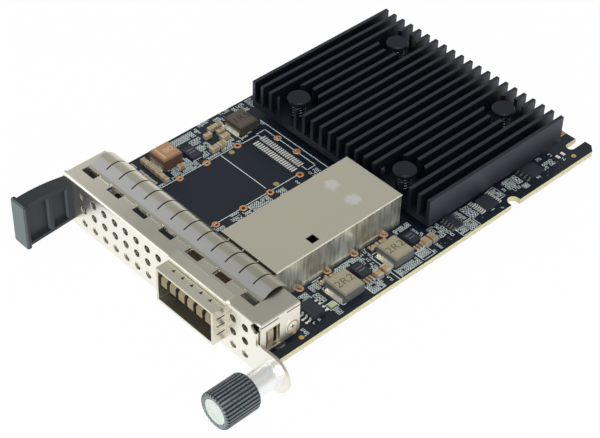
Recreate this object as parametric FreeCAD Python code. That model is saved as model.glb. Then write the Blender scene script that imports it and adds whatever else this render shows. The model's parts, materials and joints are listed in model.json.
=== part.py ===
"""Server network interface card, 76 x 115 mm, with one quad-lane module port.

Frame, in millimetres: +X runs across the card to the right of someone facing the port, +Y is the
direction in which the card is pushed into the server, and +Z is up, away from the component side.
The origin is the middle of the rear gold card edge, on the top face of the circuit board.
"""
import FreeCAD, Part
import math
import os

from FreeCAD import Vector

# Circuit board
BOARD_WIDTH = 76.0
CARD_DEPTH = 115.0
BOARD_THICKNESS = 1.57
BOARD_SETBACK = 0.6
TONGUE_WIDTH = 63.5
TONGUE_BEVEL = 0.45
GUIDE_SLOT_WIDTH = 2.45
GUIDE_SLOT_DEPTH = 5.0
GUIDE_HORN_REACH = 0.6
GUIDE_HORN_CHAMFER = 1.7
LATCH_NOTCH_FROM_EDGE = 30.9
LATCH_NOTCH_LENGTH = 3.3
LATCH_NOTCH_DEPTH = 2.4
KEY_WIDTH = 1.5
KEY_DEPTH = 5.6
CONTACT_PITCH = 0.6
CONTACT_WIDTH = 0.4
CONTACT_LENGTH = 3.6
CONTACT_INSET = 0.6
CONTACT_BANKS = (14, 28, 14, 28)
CONTACT_KEY_SKIP = 2.4
PLATING_THICKNESS = 0.05

# Folded faceplate
SHEET = 0.8
FACE_LEFT = 36.0
FACE_RIGHT = 35.1
FACE_TOP = 10.5
FACE_BOTTOM = 3.7
FOLD_RADIUS = 1.0
TOP_FLANGE_DEPTH = 12.8
SIDE_FLANGE_DEPTH = 12.8
SIDE_FLANGE_LIFT = 1.0
CORNER_GAP = 0.7
VENT_RADIUS = 1.1
VENT_PITCH_X = 4.08
VENT_PITCH_Z = 4.15
VENT_ROWS = 3
VENT_COLUMNS = 8
VENT_FIRST_X = 7.8
VENT_MIDDLE_Z = 3.1
RIGHT_VENT_COLUMNS = 2
RIGHT_VENT_INSET = 4.4
PILOT_HOLE_RADIUS = 0.35
BEAD_DEPTH = 3.5
BEAD_ROUND = 0.7
BEAD_RISE = 0.7
BEAD_PROUD = 0.6
BEAD_GAP = 0.1
CORNER_RELIEF_RADIUS = 1.3
SIDE_SLIT_HEIGHT = 0.3
SIDE_SLIT_BRIDGE = 2.4
SIDE_SLIT_FROM_FACE = 6.3
SIDE_CORNER_CHAMFER = 1.4
EAR_NOTCH = 0.7

# Spring finger strip on the top flange
FINGER_COUNT = 13
FINGER_PITCH = 4.85
FINGER_SLIT = 0.3
FINGER_STRIP_LEFT = 2.4
FINGER_THICKNESS = 0.2
FINGER_FLAT = 2.5
FINGER_RISE = 1.2
FINGER_OVERHANG = 1.4
FINGER_TAIL_GAP = 0.15
FINGER_STEPS = 5
WINDOW_WIDTH = 4.7
WINDOW_DEPTH = 2.0
WINDOW_FROM_FACE = 3.9
HOOK_WIDTH = 3.6
HOOK_DROP = 0.7

# Side flange details
SIDE_WINDOW_LENGTH = 4.1
SIDE_WINDOW_HEIGHT = 6.1
SIDE_WINDOW_FROM_FACE = 2.5
SPRING_BAR_WIDTH = 1.8
SPRING_BAR_BULGE = 0.35
SPRING_FRAME_OVERLAP = 0.6
RIVET_FROM_FACE = 10.3
RIVET_HEAD_RADIUS = 2.0
RIVET_SHANK_RADIUS = 1.1
RIVET_HEAD_HEIGHT = 0.3
RIVET_HEIGHT_IN_FLANGE = 4.4
FOOT_LENGTH = 6.0
FOOT_REACH = 5.2
FOOT_ABOVE_RIVET = 2.2
FOOT_TAB_RADIUS = 1.7
FOOT_SCREW_RADIUS = 1.25
FOOT_SCREW_HEAD_RADIUS = 2.3
FOOT_SCREW_HEAD_HEIGHT = 1.2

# Captive thumbscrew
SCREW_OUTBOARD = 2.0
EAR_RADIUS = 5.1
FERRULE_RADIUS = 3.05
FERRULE_WALL = 0.6
FERRULE_LENGTH = 12.0
FERRULE_SHOULDER_RADIUS = 3.7
FERRULE_SHOULDER = 0.8
FERRULE_FLOOR = 1.2
FERRULE_LIP = 0.5
THREAD_RADIUS = 1.5
POINT_RADIUS = 1.15
POINT_LENGTH = 1.4
SCREW_CLEARANCE = 0.2
SCREW_TRAVEL = 3.5
WASHER_THICKNESS = 0.5
KNOB_RADIUS = 4.75
KNOB_LENGTH = 10.0
KNOB_END_WALL = 1.4
KNOB_CLEARANCE = 0.3
KNOB_STOP_GAP = 0.3
KNURL_COUNT = 32
KNURL_DEPTH = 0.4
CAP_RADIUS = 3.15
CAP_THICKNESS = 0.5
SPRING_WIRE = 0.4
SPRING_TURNS = 7

# Pull tab
TAB_THICKNESS = 3.9
TAB_HEIGHT = 11.0
TAB_FLARE = 1.0
TAB_LENGTH = 13.6
TAB_FOOT_HEIGHT = 1.9
TAB_PLATE_THICKNESS = 1.4
TAB_PLATE_WIDTH = 5.7
TAB_PLATE_HEIGHT = 13.7
TAB_WALL = 0.9
TAB_WEB = 2.7
TAB_RIB = 1.1
TAB_BOW = 0.5
TAB_SCREW_RADIUS = 0.7
TAB_SCREW_HEAD_RADIUS = 1.05
TAB_SCREW_HEAD_HEIGHT = 0.5

# Module cage and its port
CAGE_CENTRE = 14.55
CAGE_WIDTH = 19.2
CAGE_TOP = 9.6
CAGE_SHEET = 0.3
CAGE_REAR = 58.4
PORT_PROUD = 4.0
CAGE_HOLE = 2.4
CAGE_HOLE_FROM_REAR = 27.0
COLLAR_SHEET = 0.25
COLLAR_RIM = 0.15
COLLAR_OVERRUN = 0.2
COLLAR_SLOTS = 5
COLLAR_SLOT_FROM_RIM = 1.8
COLLAR_SLOT_SIZE = 1.0
COLLAR_SIDE_SLOTS = 3
COLLAR_GAP = 0.15
INNER_FINGERS = 6
INNER_FINGER_WIDTH = 2.0
INNER_FINGER_REACH = 2.4
INNER_FINGER_KNEE = 2.3
INNER_FINGER_DROP = 4.5
CAGE_FOOT_LENGTH = 6.0
CAGE_FOOT_HEIGHT = 0.9
CAGE_PIN_LENGTH = 2.2
CAGE_PIN_WIDTH = 0.5
CONNECTOR_LENGTH = 17.0
CONNECTOR_SIDE_GAP = 0.8
CONNECTOR_HEIGHT = 6.6
CONNECTOR_NOSE = 4.0
CONNECTOR_NOSE_HEIGHT = 4.2
CARD_SLOT_CHEEK = 1.0
CARD_SLOT_HEIGHT = 1.2
CARD_SLOT_DEPTH = 6.0

# Pressed-pin hole pattern, one set per port
PORT_PITCH = 29.7
HOLE_SPAN = 19.15
HOLE_ROWS = (64.0, 74.2, 83.2, 92.2)
LEFT_HOLE_ROWS = (68.2, 78.7, 87.7)
REAR_HOLE_ROW = 58.4
REAR_HOLE_SPACING = 7.3
EYELET_BORE = 0.55
EYELET_RADIUS = 1.0
EYELET_HEIGHT = 0.08

# Heat sink over the controller chip
SINK_WIDTH = 63.7
SINK_LENGTH = 49.3
SINK_REAR = 7.3
SINK_TOP = 11.0
SINK_BASE_BOTTOM = 3.0
SINK_BASE = 2.0
FIN_COUNT = 21
FIN_THICKNESS = 1.0
PIN_SPACING_X = 38.0
PIN_SPACING_Y = 36.2
PIN_PATTERN_FROM_REAR = 26.8
PIN_POCKET_RADIUS = 5.0
PIN_SHAFT_RADIUS = 1.35
PIN_HOLE_CLEARANCE = 0.25
PIN_HEAD_RADIUS = 3.05
PIN_HEAD_THICKNESS = 1.2
PIN_HEAD_PROUD = 0.1
PIN_BARB_LENGTH = 1.6
PIN_BARB_RADIUS = 1.95
PIN_SLOT_WIDTH = 0.5
PIN_SPRING_WIRE = 0.45
PIN_SPRING_TURNS = 4
CHIP_SIZE = 25.0
CHIP_THICKNESS = 1.1
CHIP_LID_SIZE = 21.0
CHIP_LID_EDGE = 0.8
PAD_THICKNESS = 0.3
CHIP_LIFT = 0.4

# Left wall of the unused port, from which the parts beside it take their places
SPARE_LEFT = CAGE_CENTRE - PORT_PITCH - HOLE_SPAN / 2

# Power inductors: centre x, centre y, length x, length y, height
INDUCTORS = {
    "inductor_front_right": (31.7, -84.6, 6.9, 6.5, 2.9),
    "inductor_rear_right": (31.4, -67.4, 6.7, 6.2, 2.9),
    "inductor_front_left": (SPARE_LEFT - 7.275, -86.0, 6.0, 6.0, 3.6),
    "inductor_rear_left": (SPARE_LEFT - 5.175, -62.3, 6.4, 5.9, 3.0),
}
INDUCTOR_CHAMFER = 0.35
TERMINAL_THICKNESS = 0.25
TERMINAL_FOOT = 0.7
TERMINAL_WIDTH_SHARE = 0.42

# Chips: centre x, centre y, length x, length y, height
CHIPS = {
    "driver_front": (30.0, -77.4, 4.4, 3.2, 0.9),
    "driver_rear": (30.0, -60.2, 3.7, 3.2, 0.9),
    "driver_left": (SPARE_LEFT - 5.175, -79.2, 4.6, 3.2, 0.9),
    "buffer_rear": (33.0, -18.0, 3.4, 2.8, 0.8),
}
FLASH_CENTRE = (31.8, -95.4)
FLASH_BODY = (5.2, 3.9, 1.5)
BUFFER_CENTRE = (33.6, -37.0)
BUFFER_BODY = (4.3, 4.4, 1.0)
LEAD_PITCH = 1.27
LEAD_COUNT = 4
LEAD_WIDTH = 0.42
LEAD_REACH = 1.0
BUFFER_LEAD_PITCH = 0.65
BUFFER_LEAD_COUNT = 6
BUFFER_LEAD_WIDTH = 0.26

# Ceramic capacitors: centre x, centre y, length x, length y, height
CAPACITORS = (
    (SPARE_LEFT - 10.275, -90.6, 1.9, 1.25, 1.2),
    (SPARE_LEFT - 8.075, -90.7, 1.9, 1.25, 1.2),
    (SPARE_LEFT - 5.875, -90.8, 1.9, 1.25, 1.2),
    (SPARE_LEFT - 3.675, -90.9, 1.9, 1.25, 1.2),
    (SPARE_LEFT - 1.575, -91.0, 1.9, 1.25, 1.2),
    (SPARE_LEFT - 2.675, -84.9, 1.25, 2.0, 1.2),
    (SPARE_LEFT - 9.075, -69.2, 1.25, 2.0, 1.2),
    (SPARE_LEFT - 9.075, -66.9, 1.25, 2.0, 1.2),
    (SPARE_LEFT - 7.575, -71.8, 1.25, 2.0, 1.2),
    (SPARE_LEFT - 6.675, -68.2, 1.25, 2.0, 1.2),
    (SPARE_LEFT - 4.275, -68.8, 1.6, 2.4, 1.3),
    (SPARE_LEFT - 2.375, -74.0, 1.6, 2.2, 1.3),
    (SPARE_LEFT - 2.475, -71.4, 1.6, 2.2, 1.3),
    (33.7, -75.4, 2.4, 1.6, 1.3),
    (33.7, -73.0, 2.4, 1.6, 1.3),
    (33.5, -58.8, 2.4, 1.6, 1.3),
    (33.5, -56.6, 2.4, 1.6, 1.3),
    (26.9, -83.6, 1.0, 1.8, 0.9),
    (26.9, -86.6, 1.0, 1.8, 0.9),
    (26.3, -66.4, 1.0, 1.8, 0.9),
    (26.3, -69.0, 1.0, 1.8, 0.9),
)
DECOUPLER_SIZE = (1.0, 0.6, 0.5)
DECOUPLER_GRID = (4, 3)
DECOUPLER_PITCH = 4.8

# Small round features are many-sided, so that the many copies stay light
HOLE_SIDES = 12
VENT_SIDES = 10
PLATED_HOLE_SIDES = 8
HEAD_SIDES = 24
SLEEVE_SIDES = 40
COIL_STEPS = 8

# Derived places
BOARD_HALF = BOARD_WIDTH / 2
FACE_Y = -CARD_DEPTH
FACE_BACK = FACE_Y + SHEET
BOARD_FRONT = FACE_BACK + BOARD_SETBACK
BOARD_BOTTOM = -BOARD_THICKNESS
FLANGE_UNDER = FACE_TOP - SHEET
FLANGE_REAR = FACE_Y + TOP_FLANGE_DEPTH
SIDE_REAR = FACE_Y + SIDE_FLANGE_DEPTH
CAGE_LEFT = CAGE_CENTRE - CAGE_WIDTH / 2
CAGE_RIGHT = CAGE_CENTRE + CAGE_WIDTH / 2
PORT_FRONT = FACE_Y - PORT_PROUD
SCREW_X = BOARD_HALF + SCREW_OUTBOARD
TAB_LEFT = -FACE_LEFT
TAB_RIGHT = TAB_LEFT + TAB_THICKNESS
STRIP_LEFT = -FACE_LEFT + FINGER_STRIP_LEFT
PIN_MIDDLE_Y = -SINK_REAR - PIN_PATTERN_FROM_REAR
CHIP_LID_TOP = SINK_BASE_BOTTOM - PAD_THICKNESS
FINGER_CENTRES = [STRIP_LEFT + FINGER_PITCH * (i + 0.5) for i in range(FINGER_COUNT)]
WINDOW_CENTRES = FINGER_CENTRES[::2]
PIN_CENTRES = [
    (sx * PIN_SPACING_X / 2, PIN_MIDDLE_Y + sy * PIN_SPACING_Y / 2)
    for sx in (-1, 1)
    for sy in (-1, 1)
]
FOOT_SCREW_CENTRES = [
    (-FACE_LEFT + SHEET + FOOT_REACH / 2, FACE_Y + RIVET_FROM_FACE),
    (FACE_RIGHT - SHEET - FOOT_REACH / 2, FACE_Y + RIVET_FROM_FACE),
]


def block(x0, x1, y0, y1, z0, z1):
    """Box between two corners."""
    return Part.makeBox(x1 - x0, y1 - y0, z1 - z0, Vector(x0, y0, z0))


def centred_block(x, y, length, width, z0, z1):
    """Box standing on z0, centred on x and y."""
    return block(x - length / 2, x + length / 2, y - width / 2, y + width / 2, z0, z1)


def rod(radius, x, y, z, length, direction):
    """Cylinder from a start point along a direction."""
    return Part.makeCylinder(radius, length, Vector(x, y, z), direction)


def rod_y(radius, x, z, y0, y1):
    """Cylinder along Y between two stations."""
    return rod(radius, x, y0, z, y1 - y0, Vector(0, 1, 0))


def rod_z(radius, x, y, z0, z1):
    """Cylinder along Z between two heights."""
    return rod(radius, x, y, z0, z1 - z0, Vector(0, 0, 1))


def facet_rod(radius, x, y, z, length, direction, sides=HOLE_SIDES):
    """Many-sided bar that stands for a small round one; its corners lie on the radius."""
    start = Vector(x, y, z)
    turn = FreeCAD.Rotation(Vector(0, 0, 1), direction)
    ring = []
    for index in range(sides):
        angle = 2 * math.pi * (index + 0.5) / sides
        ring.append(start + turn.multVec(Vector(radius * math.cos(angle),
                                                radius * math.sin(angle), 0)))
    return prism(ring, direction * length)


def facet_rod_y(radius, x, z, y0, y1, sides=HOLE_SIDES):
    """Many-sided bar along Y between two stations."""
    return facet_rod(radius, x, y0, z, y1 - y0, Vector(0, 1, 0), sides)


def facet_rod_z(radius, x, y, z0, z1, sides=HOLE_SIDES):
    """Many-sided bar along Z between two heights."""
    return facet_rod(radius, x, y, z0, z1 - z0, Vector(0, 0, 1), sides)


def prism(points, direction):
    """Closed polygon through the points, extruded along a direction."""
    wire = Part.makePolygon(points + [points[0]])
    return Part.Face(wire).extrude(direction)


def joined(shapes):
    """Union of a list of solids."""
    base = shapes[0]
    return base.fuse(shapes[1:]).removeSplitter() if len(shapes) > 1 else base


def grouped(shapes):
    """Separate solids kept together as one node."""
    return Part.makeCompound(shapes)


def key_positions():
    """Left and right limits of each contact bank, from the left end of the card edge."""
    total = sum(CONTACT_BANKS) * CONTACT_PITCH + CONTACT_KEY_SKIP * (len(CONTACT_BANKS) - 1)
    banks = []
    left = -total / 2
    for count in CONTACT_BANKS:
        right = left + count * CONTACT_PITCH
        banks.append((left, right, count))
        left = right + CONTACT_KEY_SKIP
    return banks


def cage_pin_places():
    """Plated holes of the fitted port, and of the unused twin port beside it."""
    fitted = []
    spare = []
    for row in HOLE_ROWS:
        fitted.append((CAGE_RIGHT + CAGE_PIN_WIDTH / 2, -row))
        spare.append((CAGE_CENTRE - PORT_PITCH + HOLE_SPAN / 2, -row))
    for row in LEFT_HOLE_ROWS:
        spare.append((SPARE_LEFT, -row))
    for sign in (-1, 1):
        x = CAGE_CENTRE - PORT_PITCH - 1.3 + sign * REAR_HOLE_SPACING / 2
        spare.append((x, -REAR_HOLE_ROW))
    return fitted, spare


def circuit_board():
    """Laminate with guide horns, latch notch, keyed and bevelled tongue, and drilled holes."""
    half_tongue = TONGUE_WIDTH / 2
    board = block(-BOARD_HALF, BOARD_HALF, BOARD_FRONT, GUIDE_HORN_REACH, BOARD_BOTTOM, 0)
    relief = block(-half_tongue, half_tongue, 0, GUIDE_HORN_REACH, BOARD_BOTTOM, 0)
    cuts = [relief]
    for sign in (-1, 1):
        inner = sign * half_tongue
        outer = sign * (half_tongue + GUIDE_SLOT_WIDTH)
        x0, x1 = min(inner, outer), max(inner, outer)
        radius = GUIDE_SLOT_WIDTH / 2
        floor = -GUIDE_SLOT_DEPTH + radius
        cuts.append(block(x0, x1, floor, GUIDE_HORN_REACH, BOARD_BOTTOM, 0))
        cuts.append(rod_z(radius, (x0 + x1) / 2, floor, BOARD_BOTTOM, 0))
        edge = sign * BOARD_HALF
        inward = edge - sign * GUIDE_HORN_CHAMFER
        corner = [
            Vector(edge, GUIDE_HORN_REACH, BOARD_BOTTOM),
            Vector(inward, GUIDE_HORN_REACH, BOARD_BOTTOM),
            Vector(edge, GUIDE_HORN_REACH - GUIDE_HORN_CHAMFER, BOARD_BOTTOM),
        ]
        cuts.append(prism(corner, Vector(0, 0, BOARD_THICKNESS)))
    notch_y = -LATCH_NOTCH_FROM_EDGE
    notch_radius = LATCH_NOTCH_LENGTH / 2
    notch_x = BOARD_HALF - LATCH_NOTCH_DEPTH + notch_radius
    cuts.append(rod_z(notch_radius, notch_x, notch_y, BOARD_BOTTOM, 0))
    cuts.append(block(notch_x, BOARD_HALF, notch_y - notch_radius, notch_y + notch_radius,
                      BOARD_BOTTOM, 0))
    banks = key_positions()
    for left_bank, right_bank in zip(banks[:-1], banks[1:]):
        middle = (left_bank[1] + right_bank[0]) / 2
        radius = KEY_WIDTH / 2
        cuts.append(block(middle - radius, middle + radius, -KEY_DEPTH + radius, 0,
                          BOARD_BOTTOM, 0))
        cuts.append(rod_z(radius, middle, -KEY_DEPTH + radius, BOARD_BOTTOM, 0))
    for z, step in ((0, -TONGUE_BEVEL), (BOARD_BOTTOM, TONGUE_BEVEL)):
        wedge = [
            Vector(-half_tongue, 0, z),
            Vector(-half_tongue, -TONGUE_BEVEL, z),
            Vector(-half_tongue, 0, z + step),
        ]
        cuts.append(prism(wedge, Vector(TONGUE_WIDTH, 0, 0)))
    fitted, spare = cage_pin_places()
    for x, y in fitted + spare:
        cuts.append(facet_rod_z(EYELET_BORE, x, y, BOARD_BOTTOM, 0, PLATED_HOLE_SIDES))
    for x, y in PIN_CENTRES:
        cuts.append(facet_rod_z(PIN_SHAFT_RADIUS + PIN_HOLE_CLEARANCE, x, y, BOARD_BOTTOM, 0))
    for x, y in FOOT_SCREW_CENTRES:
        cuts.append(facet_rod_z(FOOT_SCREW_RADIUS, x, y, BOARD_BOTTOM, 0))
    return board.cut(cuts)


def edge_contacts():
    """Gold contact pads on both faces of the tongue."""
    pads = []
    y1 = -CONTACT_INSET
    y0 = y1 - CONTACT_LENGTH
    for left, right, count in key_positions():
        for index in range(count):
            x = left + CONTACT_PITCH * (index + 0.5)
            for z0 in (0, BOARD_BOTTOM - PLATING_THICKNESS):
                pads.append(block(x - CONTACT_WIDTH / 2, x + CONTACT_WIDTH / 2, y0, y1,
                                  z0, z0 + PLATING_THICKNESS))
    return grouped(pads)


def eyelets():
    """Thin plated rings around the drilled holes; those of the fitted port stop at its wall."""
    fitted, spare = cage_pin_places()
    cage = block(CAGE_LEFT, CAGE_RIGHT, PORT_FRONT, -CAGE_REAR, 0, CAGE_TOP)
    rings = []
    for x, y in fitted + spare:
        ring = facet_rod_z(EYELET_RADIUS, x, y, 0, EYELET_HEIGHT, PLATED_HOLE_SIDES)
        bore = facet_rod_z(EYELET_BORE, x, y, 0, EYELET_HEIGHT, PLATED_HOLE_SIDES)
        rings.append(ring.cut([bore, cage]))
    return grouped(rings)


def faceplate():
    """One folded sheet: front plate with ear and vents, top flange, and two side flanges."""
    left, right = -FACE_LEFT, FACE_RIGHT
    plate_right = right - CORNER_GAP
    top_fold = FACE_TOP - FOLD_RADIUS
    front = block(left, plate_right, FACE_Y, FACE_BACK, -FACE_BOTTOM, top_fold)
    ear_arm = block(plate_right - CORNER_GAP, SCREW_X, FACE_Y, FACE_BACK,
                    -FACE_BOTTOM, EAR_RADIUS)
    ear_lobe = rod_y(EAR_RADIUS, SCREW_X, 0, FACE_Y, FACE_BACK)
    top = block(left, right, FACE_Y + FOLD_RADIUS, FLANGE_REAR, FLANGE_UNDER, FACE_TOP)
    fold_outer = rod(FOLD_RADIUS, left, FACE_Y + FOLD_RADIUS, top_fold, plate_right - left,
                     Vector(1, 0, 0))
    fold_inner = rod(FOLD_RADIUS - SHEET, left, FACE_Y + FOLD_RADIUS, top_fold,
                     plate_right - left, Vector(1, 0, 0))
    quarter = block(left, plate_right, FACE_Y, FACE_Y + FOLD_RADIUS, top_fold, FACE_TOP)
    fold = fold_outer.cut(fold_inner).common(quarter)
    sides = []
    for x0 in (left, right - SHEET):
        sides.append(block(x0, x0 + SHEET, FACE_Y + FOLD_RADIUS, SIDE_REAR,
                           SIDE_FLANGE_LIFT, FACE_TOP))
    channel = joined([top] + sides)
    shoulders = [edge for edge in channel.Edges
                 if edge.BoundBox.ZMin > FACE_TOP - 0.01
                 and edge.BoundBox.YLength > SIDE_FLANGE_DEPTH / 2]
    channel = channel.makeFillet(SHEET * 0.9, shoulders)
    plate = joined([front, ear_arm, ear_lobe, fold, channel])
    cuts = []
    port_left = CAGE_LEFT - COLLAR_GAP - COLLAR_SHEET
    port_right = CAGE_RIGHT + COLLAR_GAP + COLLAR_SHEET
    cuts.append(block(port_left, port_right, FACE_Y, FACE_Y + FOLD_RADIUS,
                      -COLLAR_SHEET, FACE_TOP))
    for x in WINDOW_CENTRES:
        y0 = FACE_Y + WINDOW_FROM_FACE
        cuts.append(block(x - WINDOW_WIDTH / 2, x + WINDOW_WIDTH / 2, y0, y0 + WINDOW_DEPTH,
                          FLANGE_UNDER, FACE_TOP))
    for x, z in vent_centres():
        cuts.append(facet_rod_y(VENT_RADIUS, x, z, FACE_Y, FACE_BACK, VENT_SIDES))
    pilot_x = port_right - COLLAR_SHEET - 0.6
    cuts.append(facet_rod_y(PILOT_HOLE_RADIUS, pilot_x, -1.0, FACE_Y, FACE_BACK))
    cuts.append(facet_rod_y(FERRULE_RADIUS, SCREW_X, 0, FACE_Y, FACE_BACK, SLEEVE_SIDES))
    window_y = FACE_Y + SIDE_WINDOW_FROM_FACE
    window_z = SIDE_FLANGE_LIFT + 0.6
    cuts.append(block(right - SHEET, right, window_y, window_y + SIDE_WINDOW_LENGTH,
                      window_z, window_z + SIDE_WINDOW_HEIGHT))
    for x0 in (left, right - SHEET):
        cuts.append(facet_rod(RIVET_SHANK_RADIUS, x0, FACE_Y + RIVET_FROM_FACE,
                              RIVET_HEIGHT_IN_FLANGE, SHEET, Vector(1, 0, 0)))
    for z in tab_screw_heights():
        cuts.append(facet_rod_y(TAB_SCREW_RADIUS, TAB_LEFT + TAB_THICKNESS / 2, z,
                                FACE_Y, FACE_BACK))
    cuts += right_corner_cuts(plate_right)
    plate = plate.cut(cuts)
    bead = block(port_left, port_right, FACE_Y - BEAD_PROUD, FACE_Y - BEAD_PROUD + BEAD_DEPTH,
                 CAGE_TOP + COLLAR_SHEET + BEAD_GAP, FACE_TOP + BEAD_RISE)
    crests = [edge for edge in bead.Edges
              if edge.BoundBox.ZMin > FACE_TOP and edge.BoundBox.XLength > BEAD_DEPTH]
    return joined([plate, bead.makeFillet(BEAD_ROUND, crests)])


def right_corner_cuts(plate_right):
    """Reliefs of the right end: round corner, fold slits, bevelled flange corner, ear notch."""
    right = FACE_RIGHT
    relief_z = FACE_TOP - CORNER_RELIEF_RADIUS
    relief_x = plate_right - CORNER_RELIEF_RADIUS * 0.4
    cuts = [
        facet_rod_y(CORNER_RELIEF_RADIUS, relief_x, relief_z, FACE_Y, FACE_Y + FOLD_RADIUS),
        block(relief_x, plate_right, FACE_Y, FACE_Y + FOLD_RADIUS, relief_z, FACE_TOP),
    ]
    slit_z = FACE_TOP - SHEET - SIDE_SLIT_HEIGHT
    bridge = FACE_Y + SIDE_SLIT_FROM_FACE
    for y0, y1 in ((FACE_Y + FOLD_RADIUS, bridge), (bridge + SIDE_SLIT_BRIDGE, SIDE_REAR)):
        cuts.append(block(right - SHEET, right, y0, y1, slit_z, slit_z + SIDE_SLIT_HEIGHT))
    corner = [
        Vector(right - SHEET, SIDE_REAR, SIDE_FLANGE_LIFT),
        Vector(right - SHEET, SIDE_REAR - SIDE_CORNER_CHAMFER, SIDE_FLANGE_LIFT),
        Vector(right - SHEET, SIDE_REAR, SIDE_FLANGE_LIFT + SIDE_CORNER_CHAMFER),
    ]
    cuts.append(prism(corner, Vector(SHEET, 0, 0)))
    cuts.append(block(plate_right, plate_right + EAR_NOTCH, FACE_Y, FACE_BACK,
                      EAR_RADIUS - EAR_NOTCH, EAR_RADIUS))
    return cuts


def vent_centres():
    """Square grid of vent holes left of the port, and a short one to its right."""
    holes = []
    for row in range(VENT_ROWS):
        z = VENT_MIDDLE_Z + (1 - row) * VENT_PITCH_Z
        columns = VENT_COLUMNS if row == 0 else VENT_COLUMNS - 1
        for column in range(columns):
            holes.append((-FACE_LEFT + VENT_FIRST_X + VENT_PITCH_X * column, z))
        for column in range(RIGHT_VENT_COLUMNS):
            holes.append((FACE_RIGHT - RIGHT_VENT_INSET - VENT_PITCH_X * column, z))
    return holes


def finger_profile(thickness):
    """Side outline of one spring finger: flat seat, low crest, and a tail over the flange edge."""
    seat_y = FACE_Y + WINDOW_FROM_FACE + WINDOW_DEPTH
    bend_y = seat_y + FINGER_FLAT
    crest_y = (bend_y + FLANGE_REAR) / 2
    tail_y = FLANGE_REAR + FINGER_OVERHANG
    z = FACE_TOP
    crest_z = z + FINGER_RISE
    tail_z = CAGE_TOP + FINGER_TAIL_GAP

    half = crest_y - bend_y
    lower = [Vector(0, seat_y, z), Vector(0, bend_y, z)]
    for step in range(1, FINGER_STEPS):
        share = step / FINGER_STEPS
        lower.append(Vector(0, bend_y + half * share,
                            z + FINGER_RISE * (1 - math.cos(math.pi * share)) / 2))
    for step in range(FINGER_STEPS + 1):
        share = step / FINGER_STEPS
        lower.append(Vector(0, crest_y + (tail_y - crest_y) * share,
                            crest_z - (crest_z - tail_z) * share ** 2.2))
    upper = []
    for before, here, after in zip(lower[:1] + lower[:-1], lower, lower[1:] + lower[-1:]):
        along = (after - before).normalize()
        upper.append(here + Vector(0, -along.z, along.y) * thickness)
    outline = lower + upper[::-1]
    return Part.Face(Part.makePolygon(outline + [outline[0]])), seat_y, bend_y


def emi_finger_strip():
    """Beryllium-copper strip: a row of sprung fingers with hooks into the flange windows."""
    profile, seat_y, bend_y = finger_profile(FINGER_THICKNESS)
    width = FINGER_PITCH - FINGER_SLIT
    parts = []
    for x in FINGER_CENTRES:
        finger = profile.extrude(Vector(width, 0, 0))
        finger.translate(Vector(x - width / 2, 0, 0))
        parts.append(finger)
    strip_right = STRIP_LEFT + FINGER_PITCH * FINGER_COUNT - FINGER_SLIT / 2
    parts.append(block(STRIP_LEFT + FINGER_SLIT / 2, strip_right, seat_y, bend_y, FACE_TOP,
                       FACE_TOP + FINGER_THICKNESS))
    for x in WINDOW_CENTRES:
        parts.append(block(x - HOOK_WIDTH / 2, x + HOOK_WIDTH / 2, seat_y - FINGER_THICKNESS,
                           seat_y, FACE_TOP - HOOK_DROP, FACE_TOP + FINGER_THICKNESS))
    return joined(parts)


def side_spring():
    """Leaf spring behind the right side flange, its bar standing in the flange window."""
    x1 = FACE_RIGHT - SHEET
    y0 = FACE_Y + SIDE_WINDOW_FROM_FACE - SPRING_FRAME_OVERLAP
    y1 = y0 + SIDE_WINDOW_LENGTH + 2 * SPRING_FRAME_OVERLAP
    z0 = SIDE_FLANGE_LIFT + 0.2
    z1 = z0 + SIDE_WINDOW_HEIGHT + 0.8
    frame = block(x1 - FINGER_THICKNESS, x1, y0, y1, z0, z1)
    hole = block(x1 - FINGER_THICKNESS, x1, y0 + 0.9, y1 - 0.9, z0 + 0.6, z1 - 0.6)
    middle = FACE_Y + SIDE_WINDOW_FROM_FACE + SIDE_WINDOW_LENGTH * 0.38
    half = SPRING_BAR_WIDTH / 2
    chord = z1 - z0
    points = [
        Vector(x1 - FINGER_THICKNESS, middle - half, z0),
        Vector(x1 + SPRING_BAR_BULGE, middle - half, z0 + chord / 2),
        Vector(x1 - FINGER_THICKNESS, middle - half, z1),
    ]
    outer = Part.Arc(*[p + Vector(FINGER_THICKNESS, 0, 0) for p in points]).toShape()
    inner = Part.Arc(*points).toShape()
    ends = [
        Part.makeLine(points[0], points[0] + Vector(FINGER_THICKNESS, 0, 0)),
        Part.makeLine(points[2], points[2] + Vector(FINGER_THICKNESS, 0, 0)),
    ]
    wire = Part.Wire(Part.__sortEdges__([outer, inner] + ends))
    bar = Part.Face(wire).extrude(Vector(0, SPRING_BAR_WIDTH, 0))
    window_y = FACE_Y + SIDE_WINDOW_FROM_FACE
    window_z = SIDE_FLANGE_LIFT + 0.6
    window = block(x1, FACE_RIGHT, window_y, window_y + SIDE_WINDOW_LENGTH,
                   window_z, window_z + SIDE_WINDOW_HEIGHT)
    behind = block(x1 - 2, x1, y0, y1, z0, z1)
    return joined([frame.cut(hole), bar.common(joined([window, behind]))])


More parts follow.
